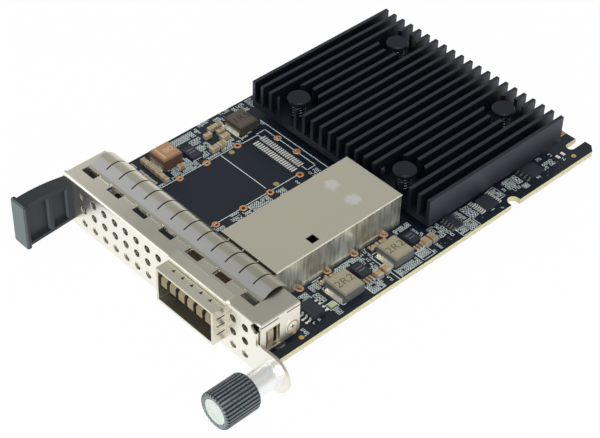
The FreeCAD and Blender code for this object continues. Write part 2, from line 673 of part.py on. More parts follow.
def mounting_foot(sign):
    """Angle bracket that joins a side flange to the board: riveted leg and screwed leg."""
    wall = FACE_RIGHT - SHEET if sign > 0 else -FACE_LEFT + SHEET
    inward = -sign
    y0 = FACE_Y + RIVET_FROM_FACE - FOOT_LENGTH / 2
    x_leg = sorted((wall, wall + inward * SHEET))
    x_base = sorted((wall, wall + inward * FOOT_REACH))
    leg = block(x_leg[0], x_leg[1], y0, y0 + FOOT_LENGTH, 0, RIVET_HEIGHT_IN_FLANGE + FOOT_ABOVE_RIVET)
    base = block(x_base[0], x_base[1], y0, y0 + FOOT_LENGTH, 0, SHEET)
    tab = facet_rod_z(FOOT_TAB_RADIUS, wall, y0 - SHEET / 2, 0, SHEET / 2, HEAD_SIDES)
    foot = joined([leg, base, tab])
    x, y = FOOT_SCREW_CENTRES[1 if sign > 0 else 0]
    rivet_hole = facet_rod(RIVET_SHANK_RADIUS, x_leg[0], FACE_Y + RIVET_FROM_FACE,
                           RIVET_HEIGHT_IN_FLANGE, SHEET, Vector(1, 0, 0))
    return foot.cut([facet_rod_z(FOOT_SCREW_RADIUS, x, y, 0, SHEET), rivet_hole])


def side_rivet(sign):
    """Coined rivet through a side flange and its mounting foot."""
    outward = Vector(sign, 0, 0)
    face = FACE_RIGHT if sign > 0 else -FACE_LEFT
    y = FACE_Y + RIVET_FROM_FACE
    z = RIVET_HEIGHT_IN_FLANGE
    head = facet_rod(RIVET_HEAD_RADIUS, face, y, z, RIVET_HEAD_HEIGHT, outward, HEAD_SIDES)
    recess = facet_rod(RIVET_HEAD_RADIUS * 0.62, face + sign * RIVET_HEAD_HEIGHT * 0.5, y, z,
                       RIVET_HEAD_HEIGHT, outward, HEAD_SIDES)
    inner = face - sign * 2 * SHEET
    shank = facet_rod(RIVET_SHANK_RADIUS, min(face, inner), y, z, 2 * SHEET, Vector(1, 0, 0))
    tail = facet_rod(RIVET_HEAD_RADIUS * 0.8, inner, y, z, RIVET_HEAD_HEIGHT, outward * -1)
    return joined([head.cut(recess), shank, tail])


def foot_screw(x, y):
    """Pan-head screw, entered from below the board into a mounting foot."""
    shank = facet_rod_z(FOOT_SCREW_RADIUS, x, y, BOARD_BOTTOM, SHEET)
    rim = FOOT_SCREW_HEAD_HEIGHT * 0.5
    head = facet_rod_z(FOOT_SCREW_HEAD_RADIUS, x, y, BOARD_BOTTOM - FOOT_SCREW_HEAD_HEIGHT,
                       BOARD_BOTTOM, HEAD_SIDES)
    lower = [edge for edge in head.Edges
             if edge.BoundBox.ZMax < BOARD_BOTTOM - FOOT_SCREW_HEAD_HEIGHT + 0.01]
    return joined([head.makeChamfer(rim, lower), shank])


def tab_screw_heights():
    """Heights of the two screws that hold the pull tab."""
    middle = TAB_HEIGHT / 2 - TAB_FOOT_HEIGHT
    return (middle - TAB_HEIGHT * 0.27, middle + TAB_HEIGHT * 0.27)


def pull_tab():
    """Moulded grip: bowed body with two finger pockets, a rib, and a flared end plate."""
    y_root = FACE_Y
    y_tip = FACE_Y - TAB_LENGTH
    root_low = -TAB_FOOT_HEIGHT
    root_high = root_low + TAB_HEIGHT
    tip_low = root_low - TAB_FLARE
    tip_high = root_high + TAB_FLARE
    mid_y = (y_root + y_tip) / 2
    x0 = TAB_LEFT
    top = Part.Arc(Vector(x0, y_root, root_high),
                   Vector(x0, mid_y, (root_high + tip_high) / 2 + TAB_BOW),
                   Vector(x0, y_tip, tip_high)).toShape()
    edges = [
        top,
        Part.makeLine(Vector(x0, y_tip, tip_high), Vector(x0, y_tip, tip_low)),
        Part.makeLine(Vector(x0, y_tip, tip_low), Vector(x0, y_root, root_low)),
        Part.makeLine(Vector(x0, y_root, root_low), Vector(x0, y_root, root_high)),
    ]
    body = Part.Face(Part.Wire(Part.__sortEdges__(edges))).extrude(Vector(TAB_THICKNESS, 0, 0))
    x1 = TAB_RIGHT
    pocket_floor = x1 - (TAB_THICKNESS - TAB_WEB)
    spans = (
        (y_tip, mid_y - TAB_RIB / 2),
        (mid_y + TAB_RIB / 2, y_root - TAB_WALL * 2),
    )
    pockets = []
    for y0, y1 in spans:
        share0 = (y_root - y0) / TAB_LENGTH
        share1 = (y_root - y1) / TAB_LENGTH
        outline = [
            Vector(pocket_floor, y0, root_low - TAB_FLARE * share0 + TAB_WALL),
            Vector(pocket_floor, y1, root_low - TAB_FLARE * share1 + TAB_WALL),
            Vector(pocket_floor, y1, root_high + TAB_FLARE * share1 - TAB_WALL),
            Vector(pocket_floor, y0, root_high + TAB_FLARE * share0 - TAB_WALL),
        ]
        pockets.append(prism(outline, Vector(TAB_THICKNESS, 0, 0)))
    body = body.cut(pockets)
    middle = (tip_low + tip_high) / 2
    plate_x = (x0 + x1) / 2
    plate = block(plate_x - TAB_PLATE_WIDTH / 2, plate_x + TAB_PLATE_WIDTH / 2,
                  y_tip - TAB_PLATE_THICKNESS, y_tip,
                  middle - TAB_PLATE_HEIGHT / 2, middle + TAB_PLATE_HEIGHT / 2)
    plate = plate.makeChamfer(TAB_PLATE_THICKNESS * 0.3, plate.Edges)
    tab = joined([body, plate])
    holes = []
    for z in tab_screw_heights():
        holes.append(facet_rod_y(TAB_SCREW_RADIUS, TAB_LEFT + TAB_THICKNESS / 2, z,
                                 FACE_Y - TAB_WALL * 2, FACE_Y))
    return tab.cut(holes)


def tab_screw(z):
    """Countersunk-style screw from behind the faceplate into the pull tab."""
    x = TAB_LEFT + TAB_THICKNESS / 2
    shank = facet_rod_y(TAB_SCREW_RADIUS, x, z, FACE_Y - TAB_WALL * 2, FACE_BACK)
    head = facet_rod_y(TAB_SCREW_HEAD_RADIUS, x, z, FACE_BACK,
                       FACE_BACK + TAB_SCREW_HEAD_HEIGHT)
    return joined([shank, head])


def thumbscrew_ferrule():
    """Turned sleeve staked in the ear: shoulder, spring chamber, floor and rolled lip."""
    outer_end = FACE_Y - FERRULE_LENGTH
    bore = FERRULE_RADIUS - FERRULE_WALL
    body = facet_rod_y(FERRULE_RADIUS, SCREW_X, 0, outer_end, FACE_BACK, SLEEVE_SIDES)
    shoulder = facet_rod_y(FERRULE_SHOULDER_RADIUS, SCREW_X, 0, FACE_Y - FERRULE_SHOULDER,
                           FACE_Y, SLEEVE_SIDES)
    chamber = facet_rod_y(bore, SCREW_X, 0, outer_end + FERRULE_LIP,
                          FACE_BACK - FERRULE_FLOOR, HEAD_SIDES)
    passage = facet_rod_y(THREAD_RADIUS + SCREW_CLEARANCE, SCREW_X, 0, outer_end, FACE_BACK,
                          HEAD_SIDES)
    return joined([body, shoulder]).cut([chamber, passage])


def thumbscrew_washer():
    """Thrust washer that rides on the screw's shoulder at the outer end of the spring."""
    bore = FERRULE_RADIUS - FERRULE_WALL
    y0 = FACE_Y - FERRULE_LENGTH + FERRULE_LIP
    y1 = y0 + WASHER_THICKNESS
    rim = facet_rod_y(bore - SCREW_CLEARANCE, SCREW_X, 0, y0, y1, HEAD_SIDES)
    return rim.cut(facet_rod_y(THREAD_RADIUS + SCREW_CLEARANCE / 2, SCREW_X, 0, y0, y1,
                               HEAD_SIDES))


def coil(radius, wire, turns, start, end):
    """Spring of square wire along Z, in short straight runs, with a flat face at each end."""
    steps = turns * COIL_STEPS
    corners = ((-1, -1), (1, -1), (1, 1), (-1, 1))
    rings = []
    for index in range(steps + 1):
        angle = 2 * math.pi * index / COIL_STEPS
        z = start + wire / 2 + (end - start - wire) * index / steps
        ring = []
        for across, along in corners:
            reach = radius + across * wire / 2
            ring.append(Vector(reach * math.cos(angle), reach * math.sin(angle),
                               z + along * wire / 2))
        rings.append(ring)
    faces = []
    for ring, after in zip(rings[:-1], rings[1:]):
        for k in range(4):
            m = (k + 1) % 4
            faces.append((ring[k], ring[m], after[m]))
            faces.append((ring[k], after[m], after[k]))
    for ring in (rings[0], rings[-1]):
        faces.append((ring[0], ring[1], ring[2]))
        faces.append((ring[0], ring[2], ring[3]))
    shell = Part.Shell([Part.Face(Part.makePolygon([a, b, c, a])) for a, b, c in faces])
    spring = Part.Solid(shell)
    if spring.Volume < 0:
        spring.reverse()
    return spring


def thumbscrew_spring():
    """Spring that pushes the thumbscrew out of the server when it is let go."""
    y0 = FACE_BACK - FERRULE_FLOOR
    y1 = FACE_Y - FERRULE_LENGTH + FERRULE_LIP + WASHER_THICKNESS
    radius = (THREAD_RADIUS + FERRULE_RADIUS - FERRULE_WALL) / 2
    spring = coil(radius, SPRING_WIRE, SPRING_TURNS, 0, y0 - y1)
    spring.rotate(Vector(0, 0, 0), Vector(1, 0, 0), -90)
    spring.translate(Vector(SCREW_X, y1, 0))
    return spring


def knob_ends():
    """Front and rear stations of the knob at rest, screw fully out."""
    outer_end = FACE_Y - FERRULE_LENGTH
    inner_floor = outer_end - SCREW_TRAVEL - KNOB_STOP_GAP
    front = inner_floor - KNOB_END_WALL
    return front, front + KNOB_LENGTH, inner_floor


def thumbscrew_knob():
    """Hollow knurled knob that slides over the ferrule."""
    front, rear, inner_floor = knob_ends()
    ring = []
    ends = []
    taper = KNURL_DEPTH * 1.5
    for index in range(KNURL_COUNT):
        for share, radius in ((0.0, KNOB_RADIUS), (0.55, KNOB_RADIUS),
                              (0.78, KNOB_RADIUS - KNURL_DEPTH)):
            angle = 2 * math.pi * (index + share) / KNURL_COUNT
            ring.append(Vector(SCREW_X + radius * math.cos(angle), front,
                               radius * math.sin(angle)))
    body = prism(ring, Vector(0, rear - front, 0))
    for y, radius in ((front, KNOB_RADIUS - taper), (front + taper, KNOB_RADIUS + KNURL_DEPTH),
                      (rear - taper, KNOB_RADIUS + KNURL_DEPTH), (rear, KNOB_RADIUS - taper)):
        outline = []
        for index in range(KNURL_COUNT):
            angle = 2 * math.pi * (index + 0.775) / KNURL_COUNT
            outline.append(Vector(SCREW_X + radius * math.cos(angle), y,
                                  radius * math.sin(angle)))
        ends.append(Part.makePolygon(outline + [outline[0]]))
    envelope = Part.makeLoft(ends, True, True)
    bore = facet_rod_y(FERRULE_RADIUS + KNOB_CLEARANCE, SCREW_X, 0, inner_floor, rear,
                       SLEEVE_SIDES)
    seat = facet_rod_y(THREAD_RADIUS, SCREW_X, 0, front, inner_floor, HEAD_SIDES)
    recess = facet_rod_y(CAP_RADIUS, SCREW_X, 0, front, front + CAP_THICKNESS, SLEEVE_SIDES)
    return body.common(envelope).cut([bore, seat, recess])


def thumbscrew_cap():
    """Pale disc let into the front of the knob."""
    front = knob_ends()[0]
    return facet_rod_y(CAP_RADIUS, SCREW_X, 0, front + 0.05, front + CAP_THICKNESS,
                       SLEEVE_SIDES)


def thumbscrew_shank():
    """Screw: pressed into the knob, with a pilot point at its free end."""
    front = knob_ends()[0]
    thread = facet_rod_y(THREAD_RADIUS, SCREW_X, 0, front + CAP_THICKNESS, FACE_BACK,
                         HEAD_SIDES)
    point = rod_y(POINT_RADIUS, SCREW_X, 0, FACE_BACK, FACE_BACK + POINT_LENGTH)
    return joined([thread, point])


def cage_shell():
    """Folded module cage: top, two side walls, rear wall, board feet and pressed pins."""
    y1 = -CAGE_REAR
    outer = block(CAGE_LEFT, CAGE_RIGHT, PORT_FRONT, y1, 0, CAGE_TOP)
    inner = block(CAGE_LEFT + CAGE_SHEET, CAGE_RIGHT - CAGE_SHEET, PORT_FRONT,
                  y1 - CAGE_SHEET, 0, CAGE_TOP - CAGE_SHEET)
    shell = outer.cut(inner)
    corners = [edge for edge in shell.Edges
               if edge.BoundBox.ZMin > CAGE_TOP - 0.01 and edge.BoundBox.YLength > 1
               and (abs(edge.BoundBox.XMin - CAGE_LEFT) < 0.01
                    or abs(edge.BoundBox.XMax - CAGE_RIGHT) < 0.01)]
    shell = shell.makeFillet(CAGE_SHEET * 0.9, corners)
    hole_x = CAGE_RIGHT - CAGE_HOLE * 1.2
    hole_y = y1 - CAGE_HOLE_FROM_REAR
    opening = centred_block(hole_x, hole_y, CAGE_HOLE, CAGE_HOLE, CAGE_TOP - CAGE_SHEET,
                            CAGE_TOP)
    feet = []
    for row, next_row in zip(HOLE_ROWS[:-1], HOLE_ROWS[1:]):
        y = -(row + next_row) / 2
        feet.append(block(CAGE_RIGHT, CAGE_RIGHT + CAGE_SHEET, y - CAGE_FOOT_LENGTH / 2,
                          y + CAGE_FOOT_LENGTH / 2, 0, CAGE_FOOT_HEIGHT))
        feet.append(block(CAGE_LEFT - CAGE_SHEET, CAGE_LEFT, y - CAGE_FOOT_LENGTH / 2,
                          y + CAGE_FOOT_LENGTH / 2, 0, CAGE_FOOT_HEIGHT))
    return joined([shell.cut(opening)] + feet)


def cage_floor():
    """Bottom sheet of the cage, inside the side walls, on the board and out to the port."""
    return block(CAGE_LEFT + CAGE_SHEET, CAGE_RIGHT - CAGE_SHEET, PORT_FRONT,
                 -CAGE_REAR - CONNECTOR_LENGTH - CAGE_SHEET, 0, CAGE_SHEET)


def cage_pins():
    """Pressed pins of the cage in the plated holes beside its right wall."""
    pins = []
    fitted = cage_pin_places()[0]
    for x, y in fitted:
        pins.append(centred_block(x, y, CAGE_PIN_WIDTH, CAGE_PIN_WIDTH,
                                  -CAGE_PIN_LENGTH, CAGE_FOOT_HEIGHT))
    return grouped(pins)


def port_collar():
    """Slotted spring collar wrapped round the cage where it leaves the faceplate."""
    y0 = PORT_FRONT + COLLAR_RIM
    y1 = FACE_BACK + COLLAR_OVERRUN
    gap = COLLAR_GAP
    skin = gap + COLLAR_SHEET
    outer = block(CAGE_LEFT - skin, CAGE_RIGHT + skin, y0, y1, -COLLAR_SHEET,
                  CAGE_TOP + COLLAR_SHEET)
    inner = block(CAGE_LEFT - gap, CAGE_RIGHT + gap, y0, y1, 0, CAGE_TOP)
    collar = outer.cut(inner)
    cuts = []
    pitch = CAGE_WIDTH / (COLLAR_SLOTS + 1)
    for index in range(COLLAR_SLOTS):
        x = CAGE_LEFT + pitch * (index + 1)
        half = COLLAR_SLOT_SIZE / 2
        y = y0 + COLLAR_SLOT_FROM_RIM
        outline = [
            Vector(x - half, y, CAGE_TOP),
            Vector(x + half, y, CAGE_TOP),
            Vector(x, y + COLLAR_SLOT_SIZE, CAGE_TOP),
        ]
        cuts.append(prism(outline, Vector(0, 0, COLLAR_SHEET)))
    side_pitch = CAGE_TOP / (COLLAR_SIDE_SLOTS + 1)
    for index in range(COLLAR_SIDE_SLOTS):
        z = side_pitch * (index + 1)
        cuts.append(block(CAGE_RIGHT + gap, CAGE_RIGHT + skin, y0 + 0.8, FACE_Y - 0.6,
                          z - 0.2, z + 0.2))
        cuts.append(block(CAGE_LEFT - skin, CAGE_LEFT - gap, y0 + 0.8, FACE_Y - 0.6,
                          z - 0.2, z + 0.2))
    rim_outer = block(CAGE_LEFT - skin, CAGE_RIGHT + skin, PORT_FRONT - 0.1, y0,
                      -COLLAR_SHEET, CAGE_TOP + COLLAR_SHEET)
    rim_inner = block(CAGE_LEFT + CAGE_SHEET, CAGE_RIGHT - CAGE_SHEET, PORT_FRONT - 0.1, y0,
                      CAGE_SHEET, CAGE_TOP - CAGE_SHEET)
    cage_hole = block(CAGE_LEFT - gap, CAGE_RIGHT + gap, PORT_FRONT, y0, 0, CAGE_TOP)
    rim = rim_outer.cut([rim_inner, cage_hole])
    return joined([collar.cut(cuts), rim])


def port_fingers():
    """Sprung ground fingers: each leans forward from the port's ceiling and hangs near the mouth."""
    fingers = []
    pitch = (CAGE_WIDTH - 2 * CAGE_SHEET) / INNER_FINGERS
    sheet = FINGER_THICKNESS
    y0 = PORT_FRONT + 0.4
    z1 = CAGE_TOP - CAGE_SHEET
    for index in range(INNER_FINGERS):
        x = CAGE_LEFT + CAGE_SHEET + pitch * (index + 0.5) - INNER_FINGER_WIDTH / 2
        outline = [
            Vector(x, y0 + INNER_FINGER_REACH, z1),
            Vector(x, y0 + INNER_FINGER_REACH + sheet * 1.5, z1),
            Vector(x, y0 + sheet, z1 - INNER_FINGER_KNEE - sheet * 0.5),
            Vector(x, y0 + sheet, z1 - INNER_FINGER_DROP),
            Vector(x, y0, z1 - INNER_FINGER_DROP),
            Vector(x, y0, z1 - INNER_FINGER_KNEE),
        ]
        fingers.append(prism(outline, Vector(INNER_FINGER_WIDTH, 0, 0)))
    return grouped(fingers)


def module_connector():
    """Moulded socket at the back of the cage, with the slot for the module's card edge."""
    y1 = -CAGE_REAR - CAGE_SHEET * 2
    y0 = y1 - CONNECTOR_LENGTH
    half = CAGE_WIDTH / 2 - CAGE_SHEET - CONNECTOR_SIDE_GAP
    body = block(CAGE_CENTRE - half, CAGE_CENTRE + half, y0 + CONNECTOR_NOSE, y1,
                 0, CONNECTOR_HEIGHT)
    middle = CONNECTOR_HEIGHT / 2 + 0.6
    nose = block(CAGE_CENTRE - half, CAGE_CENTRE + half, y0, y0 + CONNECTOR_NOSE,
                 middle - CONNECTOR_NOSE_HEIGHT / 2, middle + CONNECTOR_NOSE_HEIGHT / 2)
    half_slot = half - CARD_SLOT_CHEEK
    slot = block(CAGE_CENTRE - half_slot, CAGE_CENTRE + half_slot, y0, y0 + CARD_SLOT_DEPTH,
                 middle - CARD_SLOT_HEIGHT / 2, middle + CARD_SLOT_HEIGHT / 2)
    return joined([body, nose]).cut(slot)


def heat_sink():
    """Extruded fins on a flat base, with a round pocket milled for each push pin."""
    half = SINK_WIDTH / 2
    y1 = -SINK_REAR
    y0 = y1 - SINK_LENGTH
    base_top = SINK_BASE_BOTTOM + SINK_BASE
    parts = [block(-half, half, y0, y1, SINK_BASE_BOTTOM, base_top)]
    pitch = (SINK_WIDTH - FIN_THICKNESS) / (FIN_COUNT - 1)
    for index in range(FIN_COUNT):
        x = -half + pitch * index
        parts.append(block(x, x + FIN_THICKNESS, y0, y1, base_top - 0.5, SINK_TOP))
    sink = joined(parts)
    cuts = []
    for x, y in PIN_CENTRES:
        cuts.append(facet_rod_z(PIN_POCKET_RADIUS, x, y, base_top, SINK_TOP, SLEEVE_SIDES))
        cuts.append(facet_rod_z(PIN_SHAFT_RADIUS + PIN_HOLE_CLEARANCE, x, y,
                                SINK_BASE_BOTTOM, base_top))
    return sink.cut(cuts)


def push_pin(x, y):
    """Push pin: flat head, shaft through sink and board, and a barbed tip below."""
    head_top = SINK_TOP + PIN_HEAD_PROUD
    head = facet_rod_z(PIN_HEAD_RADIUS, x, y, head_top - PIN_HEAD_THICKNESS, head_top,
                       HEAD_SIDES)
    rim = [edge for edge in head.Edges if edge.BoundBox.ZMin > head_top - 0.01]
    head = head.makeChamfer(PIN_HEAD_THICKNESS * 0.25, rim)
    shaft = facet_rod_z(PIN_SHAFT_RADIUS, x, y, BOARD_BOTTOM, head_top - PIN_HEAD_THICKNESS)
    tip = BOARD_BOTTOM - PIN_BARB_LENGTH
    rings = []
    for z, radius in ((BOARD_BOTTOM, PIN_BARB_RADIUS), (tip, PIN_SHAFT_RADIUS * 0.8)):
        ring = []
        for index in range(HOLE_SIDES):
            angle = 2 * math.pi * (index + 0.5) / HOLE_SIDES
            ring.append(Vector(x + radius * math.cos(angle), y + radius * math.sin(angle), z))
        rings.append(Part.makePolygon(ring + [ring[0]]))
    barb = Part.makeLoft(rings, True, True)
    slot = centred_block(x, y, PIN_SLOT_WIDTH, PIN_BARB_RADIUS * 2.2, tip, BOARD_BOTTOM)
    return joined([head, shaft, barb.cut(slot)])


def push_pin_spring(x, y):
    """Spring between the heat-sink base and the head of a push pin."""
    bottom = SINK_BASE_BOTTOM + SINK_BASE
    top = SINK_TOP + PIN_HEAD_PROUD - PIN_HEAD_THICKNESS
    spring = coil(PIN_SHAFT_RADIUS + PIN_SPRING_WIRE + 0.25, PIN_SPRING_WIRE,
                  PIN_SPRING_TURNS, bottom, top)
    spring.translate(Vector(x, y, 0))
    return spring


def chip_substrate():
    """Laminate carrier of the controller chip, on its solder balls."""
    return centred_block(0, PIN_MIDDLE_Y, CHIP_SIZE, CHIP_SIZE, 0, CHIP_LIFT + CHIP_THICKNESS)


def chip_lid():
    """Stamped metal lid on the controller chip."""
    z0 = CHIP_LIFT + CHIP_THICKNESS
    rim = centred_block(0, PIN_MIDDLE_Y, CHIP_LID_SIZE + 2, CHIP_LID_SIZE + 2, z0,
                        z0 + CHIP_LID_EDGE * 0.5)
    crown = centred_block(0, PIN_MIDDLE_Y, CHIP_LID_SIZE, CHIP_LID_SIZE, z0, CHIP_LID_TOP)
    return joined([rim, crown])


def thermal_pad():
    """Soft pad between the chip lid and the heat sink."""
    return centred_block(0, PIN_MIDDLE_Y, CHIP_LID_SIZE, CHIP_LID_SIZE, CHIP_LID_TOP,
                         SINK_BASE_BOTTOM)


def inductor_body(x, y, length, width, height):
    """Moulded power inductor with a chamfered top."""
    body = centred_block(x, y, length, width, 0, height)
    upper = [edge for edge in body.Edges if edge.BoundBox.ZMin > height - 0.01]
    return body.makeChamfer(INDUCTOR_CHAMFER, upper)


def inductor_terminals(x, y, length, width, height):
    """Two tinned straps on the front and rear sides of an inductor."""
    straps = []
    for sign in (-1, 1):
        y_wall = y + sign * width / 2
        y_out = y_wall + sign * TERMINAL_THICKNESS
        low, high = min(y_wall, y_out), max(y_wall, y_out)
        half = length * TERMINAL_WIDTH_SHARE
        straps.append(block(x - half, x + half, low, high, 0, height * 0.45))
        y_toe = y_out + sign * TERMINAL_FOOT
        straps.append(block(x - half, x + half, min(y_out, y_toe), max(y_out, y_toe), 0,
                            TERMINAL_THICKNESS))
    return straps


def leaded_chip(centre, body, pitch, count, width):
    """Moulded chip body and its gull-wing leads along the front and rear sides."""
    x, y = centre
    length, depth, height = body
    package = centred_block(x, y, length, depth, 0.1, height)
    leads = []
    for sign in (-1, 1):
        for index in range(count):
            lead_x = x + pitch * (index - (count - 1) / 2)
            y_root = y + sign * depth / 2
            y_tip = y_root + sign * LEAD_REACH
            leads.append(block(lead_x - width / 2, lead_x + width / 2,
                               min(y_root, y_tip), max(y_root, y_tip), 0, 0.15))
            y_knee = y_root + sign * LEAD_REACH * 0.4
            leads.append(block(lead_x - width / 2, lead_x + width / 2,
                               min(y_root, y_knee), max(y_root, y_knee), 0.15, height * 0.55))
    return package, leads


def capacitors():
    """Ceramic capacitors on the component side."""
    return [centred_block(x, y, length, width, 0, height)
            for x, y, length, width, height in CAPACITORS]


def decouplers():
    """Small capacitors on the underside, below the controller chip."""
    length, width, height = DECOUPLER_SIZE
    columns, rows = DECOUPLER_GRID
    return [centred_block(DECOUPLER_PITCH * (i - (columns - 1) / 2),
                          PIN_MIDDLE_Y + DECOUPLER_PITCH * (j - (rows - 1) / 2),
                          length, width, BOARD_BOTTOM - height, BOARD_BOTTOM)
            for i in range(columns) for j in range(rows)]


def nodes():
    """Every node of the card, by name."""
    flash, flash_leads = leaded_chip(FLASH_CENTRE, FLASH_BODY, LEAD_PITCH, LEAD_COUNT,
                                     LEAD_WIDTH)
    buffer_chip, buffer_leads = leaded_chip(BUFFER_CENTRE, BUFFER_BODY, BUFFER_LEAD_PITCH,
                                            BUFFER_LEAD_COUNT, BUFFER_LEAD_WIDTH)
    model = {
        "circuit_board": circuit_board(),
        "edge_contacts": edge_contacts(),
        "port_eyelets": eyelets(),
        "faceplate": faceplate(),
        "emi_finger_strip": emi_finger_strip(),
        "side_spring": side_spring(),
        "mounting_foot_left": mounting_foot(-1),
        "mounting_foot_right": mounting_foot(1),
        "side_rivets": grouped([side_rivet(-1), side_rivet(1)]),
        "foot_screws": grouped([foot_screw(x, y) for x, y in FOOT_SCREW_CENTRES]),
        "pull_tab": pull_tab(),
        "pull_tab_screws": grouped([tab_screw(z) for z in tab_screw_heights()]),
        "thumbscrew_ferrule": thumbscrew_ferrule(),
        "thumbscrew_washer": thumbscrew_washer(),
        "thumbscrew_spring": thumbscrew_spring(),
        "thumbscrew_knob": thumbscrew_knob(),
        "thumbscrew_cap": thumbscrew_cap(),
        "thumbscrew_shank": thumbscrew_shank(),
        "cage_shell": cage_shell(),
        "cage_floor": cage_floor(),
        "cage_pins": cage_pins(),
        "port_collar": port_collar(),
        "port_fingers": port_fingers(),
        "module_connector": module_connector(),
        "heat_sink": heat_sink(),
        "push_pins": grouped([push_pin(x, y) for x, y in PIN_CENTRES]),
        "push_pin_springs": grouped([push_pin_spring(x, y) for x, y in PIN_CENTRES]),
        "chip_substrate": chip_substrate(),
        "chip_lid": chip_lid(),
        "thermal_pad": thermal_pad(),
        "flash_chip": flash,
        "buffer_chip": buffer_chip,
        "chip_leads": grouped(flash_leads + buffer_leads),
        "driver_chips": grouped([centred_block(x, y, length, width, 0, height)
                                 for x, y, length, width, height in CHIPS.values()]),
        "ceramic_capacitors": grouped(capacitors()),
        "decoupling_capacitors": grouped(decouplers()),
    }
    straps = []
    for name, size in INDUCTORS.items():
        model[name] = inductor_body(*size)
        straps += inductor_terminals(*size)
    model["inductor_terminals"] = grouped(straps)
    return model


def main():
    """Write one STEP file per node."""
    os.makedirs("parts", exist_ok=True)
    for name, shape in nodes().items():
        shape.exportStep(os.path.join("parts", name + ".step"))


main()
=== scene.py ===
import json
import math
from functools import cache, partial

import bmesh
import bpy
import numpy as np
from mathutils import Matrix, Vector


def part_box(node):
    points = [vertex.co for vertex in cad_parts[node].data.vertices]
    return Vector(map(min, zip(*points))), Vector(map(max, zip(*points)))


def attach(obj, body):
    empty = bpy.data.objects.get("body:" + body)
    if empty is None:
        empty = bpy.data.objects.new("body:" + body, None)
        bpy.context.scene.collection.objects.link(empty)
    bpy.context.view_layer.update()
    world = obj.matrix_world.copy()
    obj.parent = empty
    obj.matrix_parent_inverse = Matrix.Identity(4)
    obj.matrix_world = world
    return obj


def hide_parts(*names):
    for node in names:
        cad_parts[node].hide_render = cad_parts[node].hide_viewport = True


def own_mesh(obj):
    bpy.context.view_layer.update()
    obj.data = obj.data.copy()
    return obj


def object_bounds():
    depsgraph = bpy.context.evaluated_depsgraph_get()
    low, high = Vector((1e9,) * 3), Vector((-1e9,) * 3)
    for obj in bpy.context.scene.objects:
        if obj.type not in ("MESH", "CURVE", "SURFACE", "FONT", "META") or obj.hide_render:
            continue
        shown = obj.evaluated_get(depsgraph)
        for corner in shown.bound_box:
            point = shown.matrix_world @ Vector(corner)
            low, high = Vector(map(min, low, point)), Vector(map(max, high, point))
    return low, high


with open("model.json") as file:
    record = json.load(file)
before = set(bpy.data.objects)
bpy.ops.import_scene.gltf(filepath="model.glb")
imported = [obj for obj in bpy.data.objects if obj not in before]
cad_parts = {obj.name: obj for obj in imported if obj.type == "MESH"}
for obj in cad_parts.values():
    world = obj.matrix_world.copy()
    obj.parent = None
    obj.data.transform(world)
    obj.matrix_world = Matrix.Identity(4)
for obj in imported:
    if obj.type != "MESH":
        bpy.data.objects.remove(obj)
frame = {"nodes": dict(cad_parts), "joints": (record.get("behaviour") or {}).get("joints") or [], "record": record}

bl_info = {
    "name": "Server network interface card",
    "version": (1, 0, 0),
    "blender": (4, 5, 0),
    "location": "3D View > Sidebar > Network card",
    "description": "Dresses the network card's frame with its finishes, board print and small trim",
    "category": "Add Mesh",
}

MM = 0.001
CAD_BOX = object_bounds()
NODES = frame["nodes"]
JOINTS = {joint["name"]: joint for joint in frame["joints"]}
SCREW_X = JOINTS["thumbscrew_turn"]["pos_m"][0] / MM
# Heights of the print and of the pads over the board, in metres.
INK_Z = 0.03 * MM
PAD_Z = 0.05 * MM
# Height of a mark over the part that it is printed on, in mm.
MARK_RISE = 0.012
# What makes a Mix node blend two colours: its kind of data, and the output that carries them.
BLEND = {"data_type": "RGBA", "out": 2}


# ---------------------------------------------------------------- small tools

def linear(code):
    """Linear RGBA of an sRGB hex colour: (c / 12.92) below 0.04045, else ((c + 0.055) / 1.055) ^ 2.4."""
    channels = [int(code[i:i + 2], 16) / 255 for i in (1, 3, 5)]
    return tuple(c / 12.92 if c <= 0.04045 else ((c + 0.055) / 1.055) ** 2.4 for c in channels) + (1.0,)


def add_node(tree, kind, inputs, out=0, **settings):
    """Adds one shader node and returns one of its outputs, or the node when it has none.

    inputs are its sockets' values or links, settings its properties. A Mix takes its share at 0, and two
    colours at 6 and 7; a Map Range takes the value at 0, the old range at 1 and 2, and the new one (0 to 1
    unless given) at 3 and 4.
    """
    node = tree.nodes.new("ShaderNode" + kind)
    for name, value in settings.items():
        setattr(node, name, value)
    for key, value in inputs.items():
        if isinstance(value, bpy.types.NodeSocket):
            tree.links.new(value, node.inputs[key])
        else:
            node.inputs[key].default_value = value
    return node.outputs[out] if node.outputs else node


def new_material(name):
    """An empty material, the function that adds its nodes, and the place of each point on the piece."""
    material = bpy.data.materials.new(name)
    add = emptied(material)
    return material, add, add("TexCoord", {}, "Object")


def emptied(owner):
    """Clears the nodes of a material or a world, and gives the function that adds nodes to it."""
    owner.use_nodes = True
    owner.node_tree.nodes.clear()
    return partial(add_node, owner.node_tree)


def points_mm(mesh):
    """The vertices of a mesh as rows, in mm."""
    places = np.zeros(len(mesh.vertices) * 3)
    mesh.vertices.foreach_get("co", places)
    return places.reshape(-1, 3) / MM


def box_mm(node):
    """Low and high corners of a node at rest, in mm."""
    low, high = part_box(node)
    return np.array(low) / MM, np.array(high) / MM


def plate_corners():
    """Low and high corners, in mm, of the faceplate's left half, away from the bead over the port."""
    points = points_mm(NODES["faceplate"].data)
    left = points[points[:, 0] < 0]
    return left.min(axis=0), left.max(axis=0)


